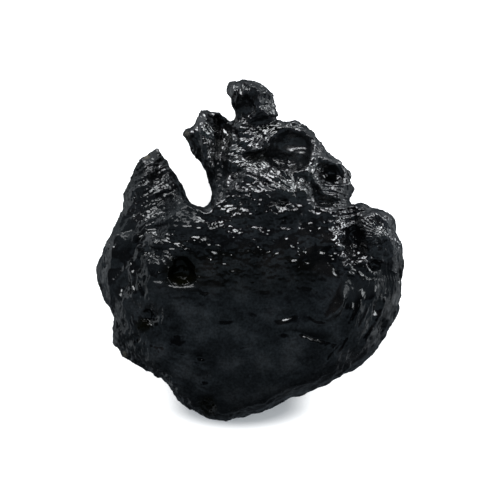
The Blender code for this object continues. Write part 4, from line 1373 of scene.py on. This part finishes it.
@dataclass
class Studio:
    """The pale table, the soft lights and the camera."""

    table_half: float = 3.0
    lens: float = 150.0
    view_width: float = 0.088  # width of the picture at the height of the stone's outline
    outline_height: float = 0.009
    room: tuple[Span, ...] = (  # how far towards +Y, and the room's colour there
        (-1.0, 0.045, 0.055, 0.065),
        (-0.65, 0.12, 0.15, 0.175),
        (0.0, 0.21, 0.27, 0.32),
        (0.08, 0.15, 0.19, 0.23),
        (0.18, 0.065, 0.078, 0.095),
        (0.30, 0.014, 0.016, 0.02),
        (0.9, 0.035, 0.04, 0.045),
    )
    under: Colour = (0.05, 0.06, 0.07)
    under_sides: Colour = (0.75, 0.82, 0.87)  # behind and beside the stone
    beside: tuple[float, float] = (-0.6, -0.1)  # towards +Y, where the sides' ground starts and is full
    shallow: tuple[float, float] = (-0.85, -0.3)  # up, where it starts and is full
    horizon: tuple[float, float] = (0.02, -0.02)  # up, from where the room ends to where the ground is full
    boxes: tuple[SoftBox, ...] = (
        SoftBox("key box", 94, 22, 1.0, 1.15, 0.40, 10.0, (0.96, 0.98, 1.0)),
        SoftBox("right box", 25, 6, 1.0, 0.36, 0.40, 5.0, (0.94, 0.98, 1.0)),
        SoftBox("table light", 90, 86, 1.6, 2.0, 2.0, 1.4, (1.0, 1.0, 1.0), False),
    )
    glows: tuple[Glow, ...] = (Glow(97, 18, 30, 3.0), Glow(36, 0, 28, 4.5))

    def build_table(self) -> bpy.types.Object:
        """Makes the table, which the polished stone doesn't mirror.

        Returns:
            The table's object.
        """
        work = bmesh.new()
        bmesh.ops.create_grid(work, x_segments=1, y_segments=1, size=self.table_half)
        mesh = bpy.data.meshes.new("table")
        work.to_mesh(mesh)
        work.free()
        table = bpy.data.objects.new("table", mesh)
        mesh.materials.append(PaleTable().build())
        table.visible_glossy = False
        bpy.context.scene.collection.objects.link(table)
        return table

    def build_world(self) -> None:
        """Makes the dim room that the stone mirrors: pale overhead and behind, dark below the key light."""
        world = bpy.data.worlds.new("studio")
        world.use_nodes = True
        wiring = Wiring(world.node_tree)
        place = wiring.add("TexCoord")["Generated"]
        axes = wiring.add("SeparateXYZ", {"Vector": place})
        ramp = world.node_tree.nodes.new("ShaderNodeValToRGB")
        wiring.feed(ramp, {"Fac": wiring.spread(axes["Y"], -1, 1)})
        stops = ramp.color_ramp.elements
        while len(stops) < len(self.room):
            stops.new(0.5)
        for stop, (towards, *colour) in zip(stops, self.room):
            stop.position = (towards + 1) / 2
            stop.color = (*colour, 1)
        room = ramp.outputs["Color"]
        for glow in self.glows:
            near = wiring.vector("DOT_PRODUCT", place, direction(glow.turn, glow.rise), out="Value")
            edge = math.cos(math.radians(glow.reach))
            fade = wiring.spread(near, edge, 1, 0, glow.glow, interpolation_type="SMOOTHSTEP")
            room = wiring.vector("MULTIPLY_ADD", fade, glow.colour, room)
        beside, shallow = wiring.spread(axes["Y"], *self.beside), wiring.spread(axes["Z"], *self.shallow)
        ground = wiring.blend(wiring.number("MULTIPLY", beside, shallow), self.under, self.under_sides)
        below = wiring.spread(axes["Z"], *self.horizon)
        wiring.feed(world.node_tree.nodes["Background"], {"Color": wiring.blend(below, room, ground)})
        bpy.context.scene.world = world
        bpy.context.scene.view_settings.view_transform = "Standard"

    def build_camera(self) -> bpy.types.Object:
        """Makes the camera, straight above the stone with the knob at the top of the picture.

        Returns:
            The camera's object.
        """
        data = bpy.data.cameras.new("camera")
        data.lens = self.lens
        data.clip_end = 20
        away = self.view_width * self.lens / data.sensor_width
        camera = bpy.data.objects.new("camera", data)
        camera.location = (0, 0, self.outline_height + away)
        bpy.context.scene.collection.objects.link(camera)
        bpy.context.scene.camera = camera
        return camera

    def build(self) -> None:
        """Makes everything around the stone."""
        self.build_table()
        self.build_world()
        for box in self.boxes:
            box.build()
        self.build_camera()


def main() -> None:
    """Builds the stone and its studio."""
    logging.basicConfig(level=logging.INFO, format="%(name)s: %(message)s")
    stone = Tektite().build()
    face = sum(polygon.normal.z > FACE_SLOPE for polygon in stone.data.polygons)
    LOG.info("%s: %d triangles, %d of them on the face", stone.name, len(stone.data.polygons), face)
    Studio().build()


if __name__ == "__main__":
    main()
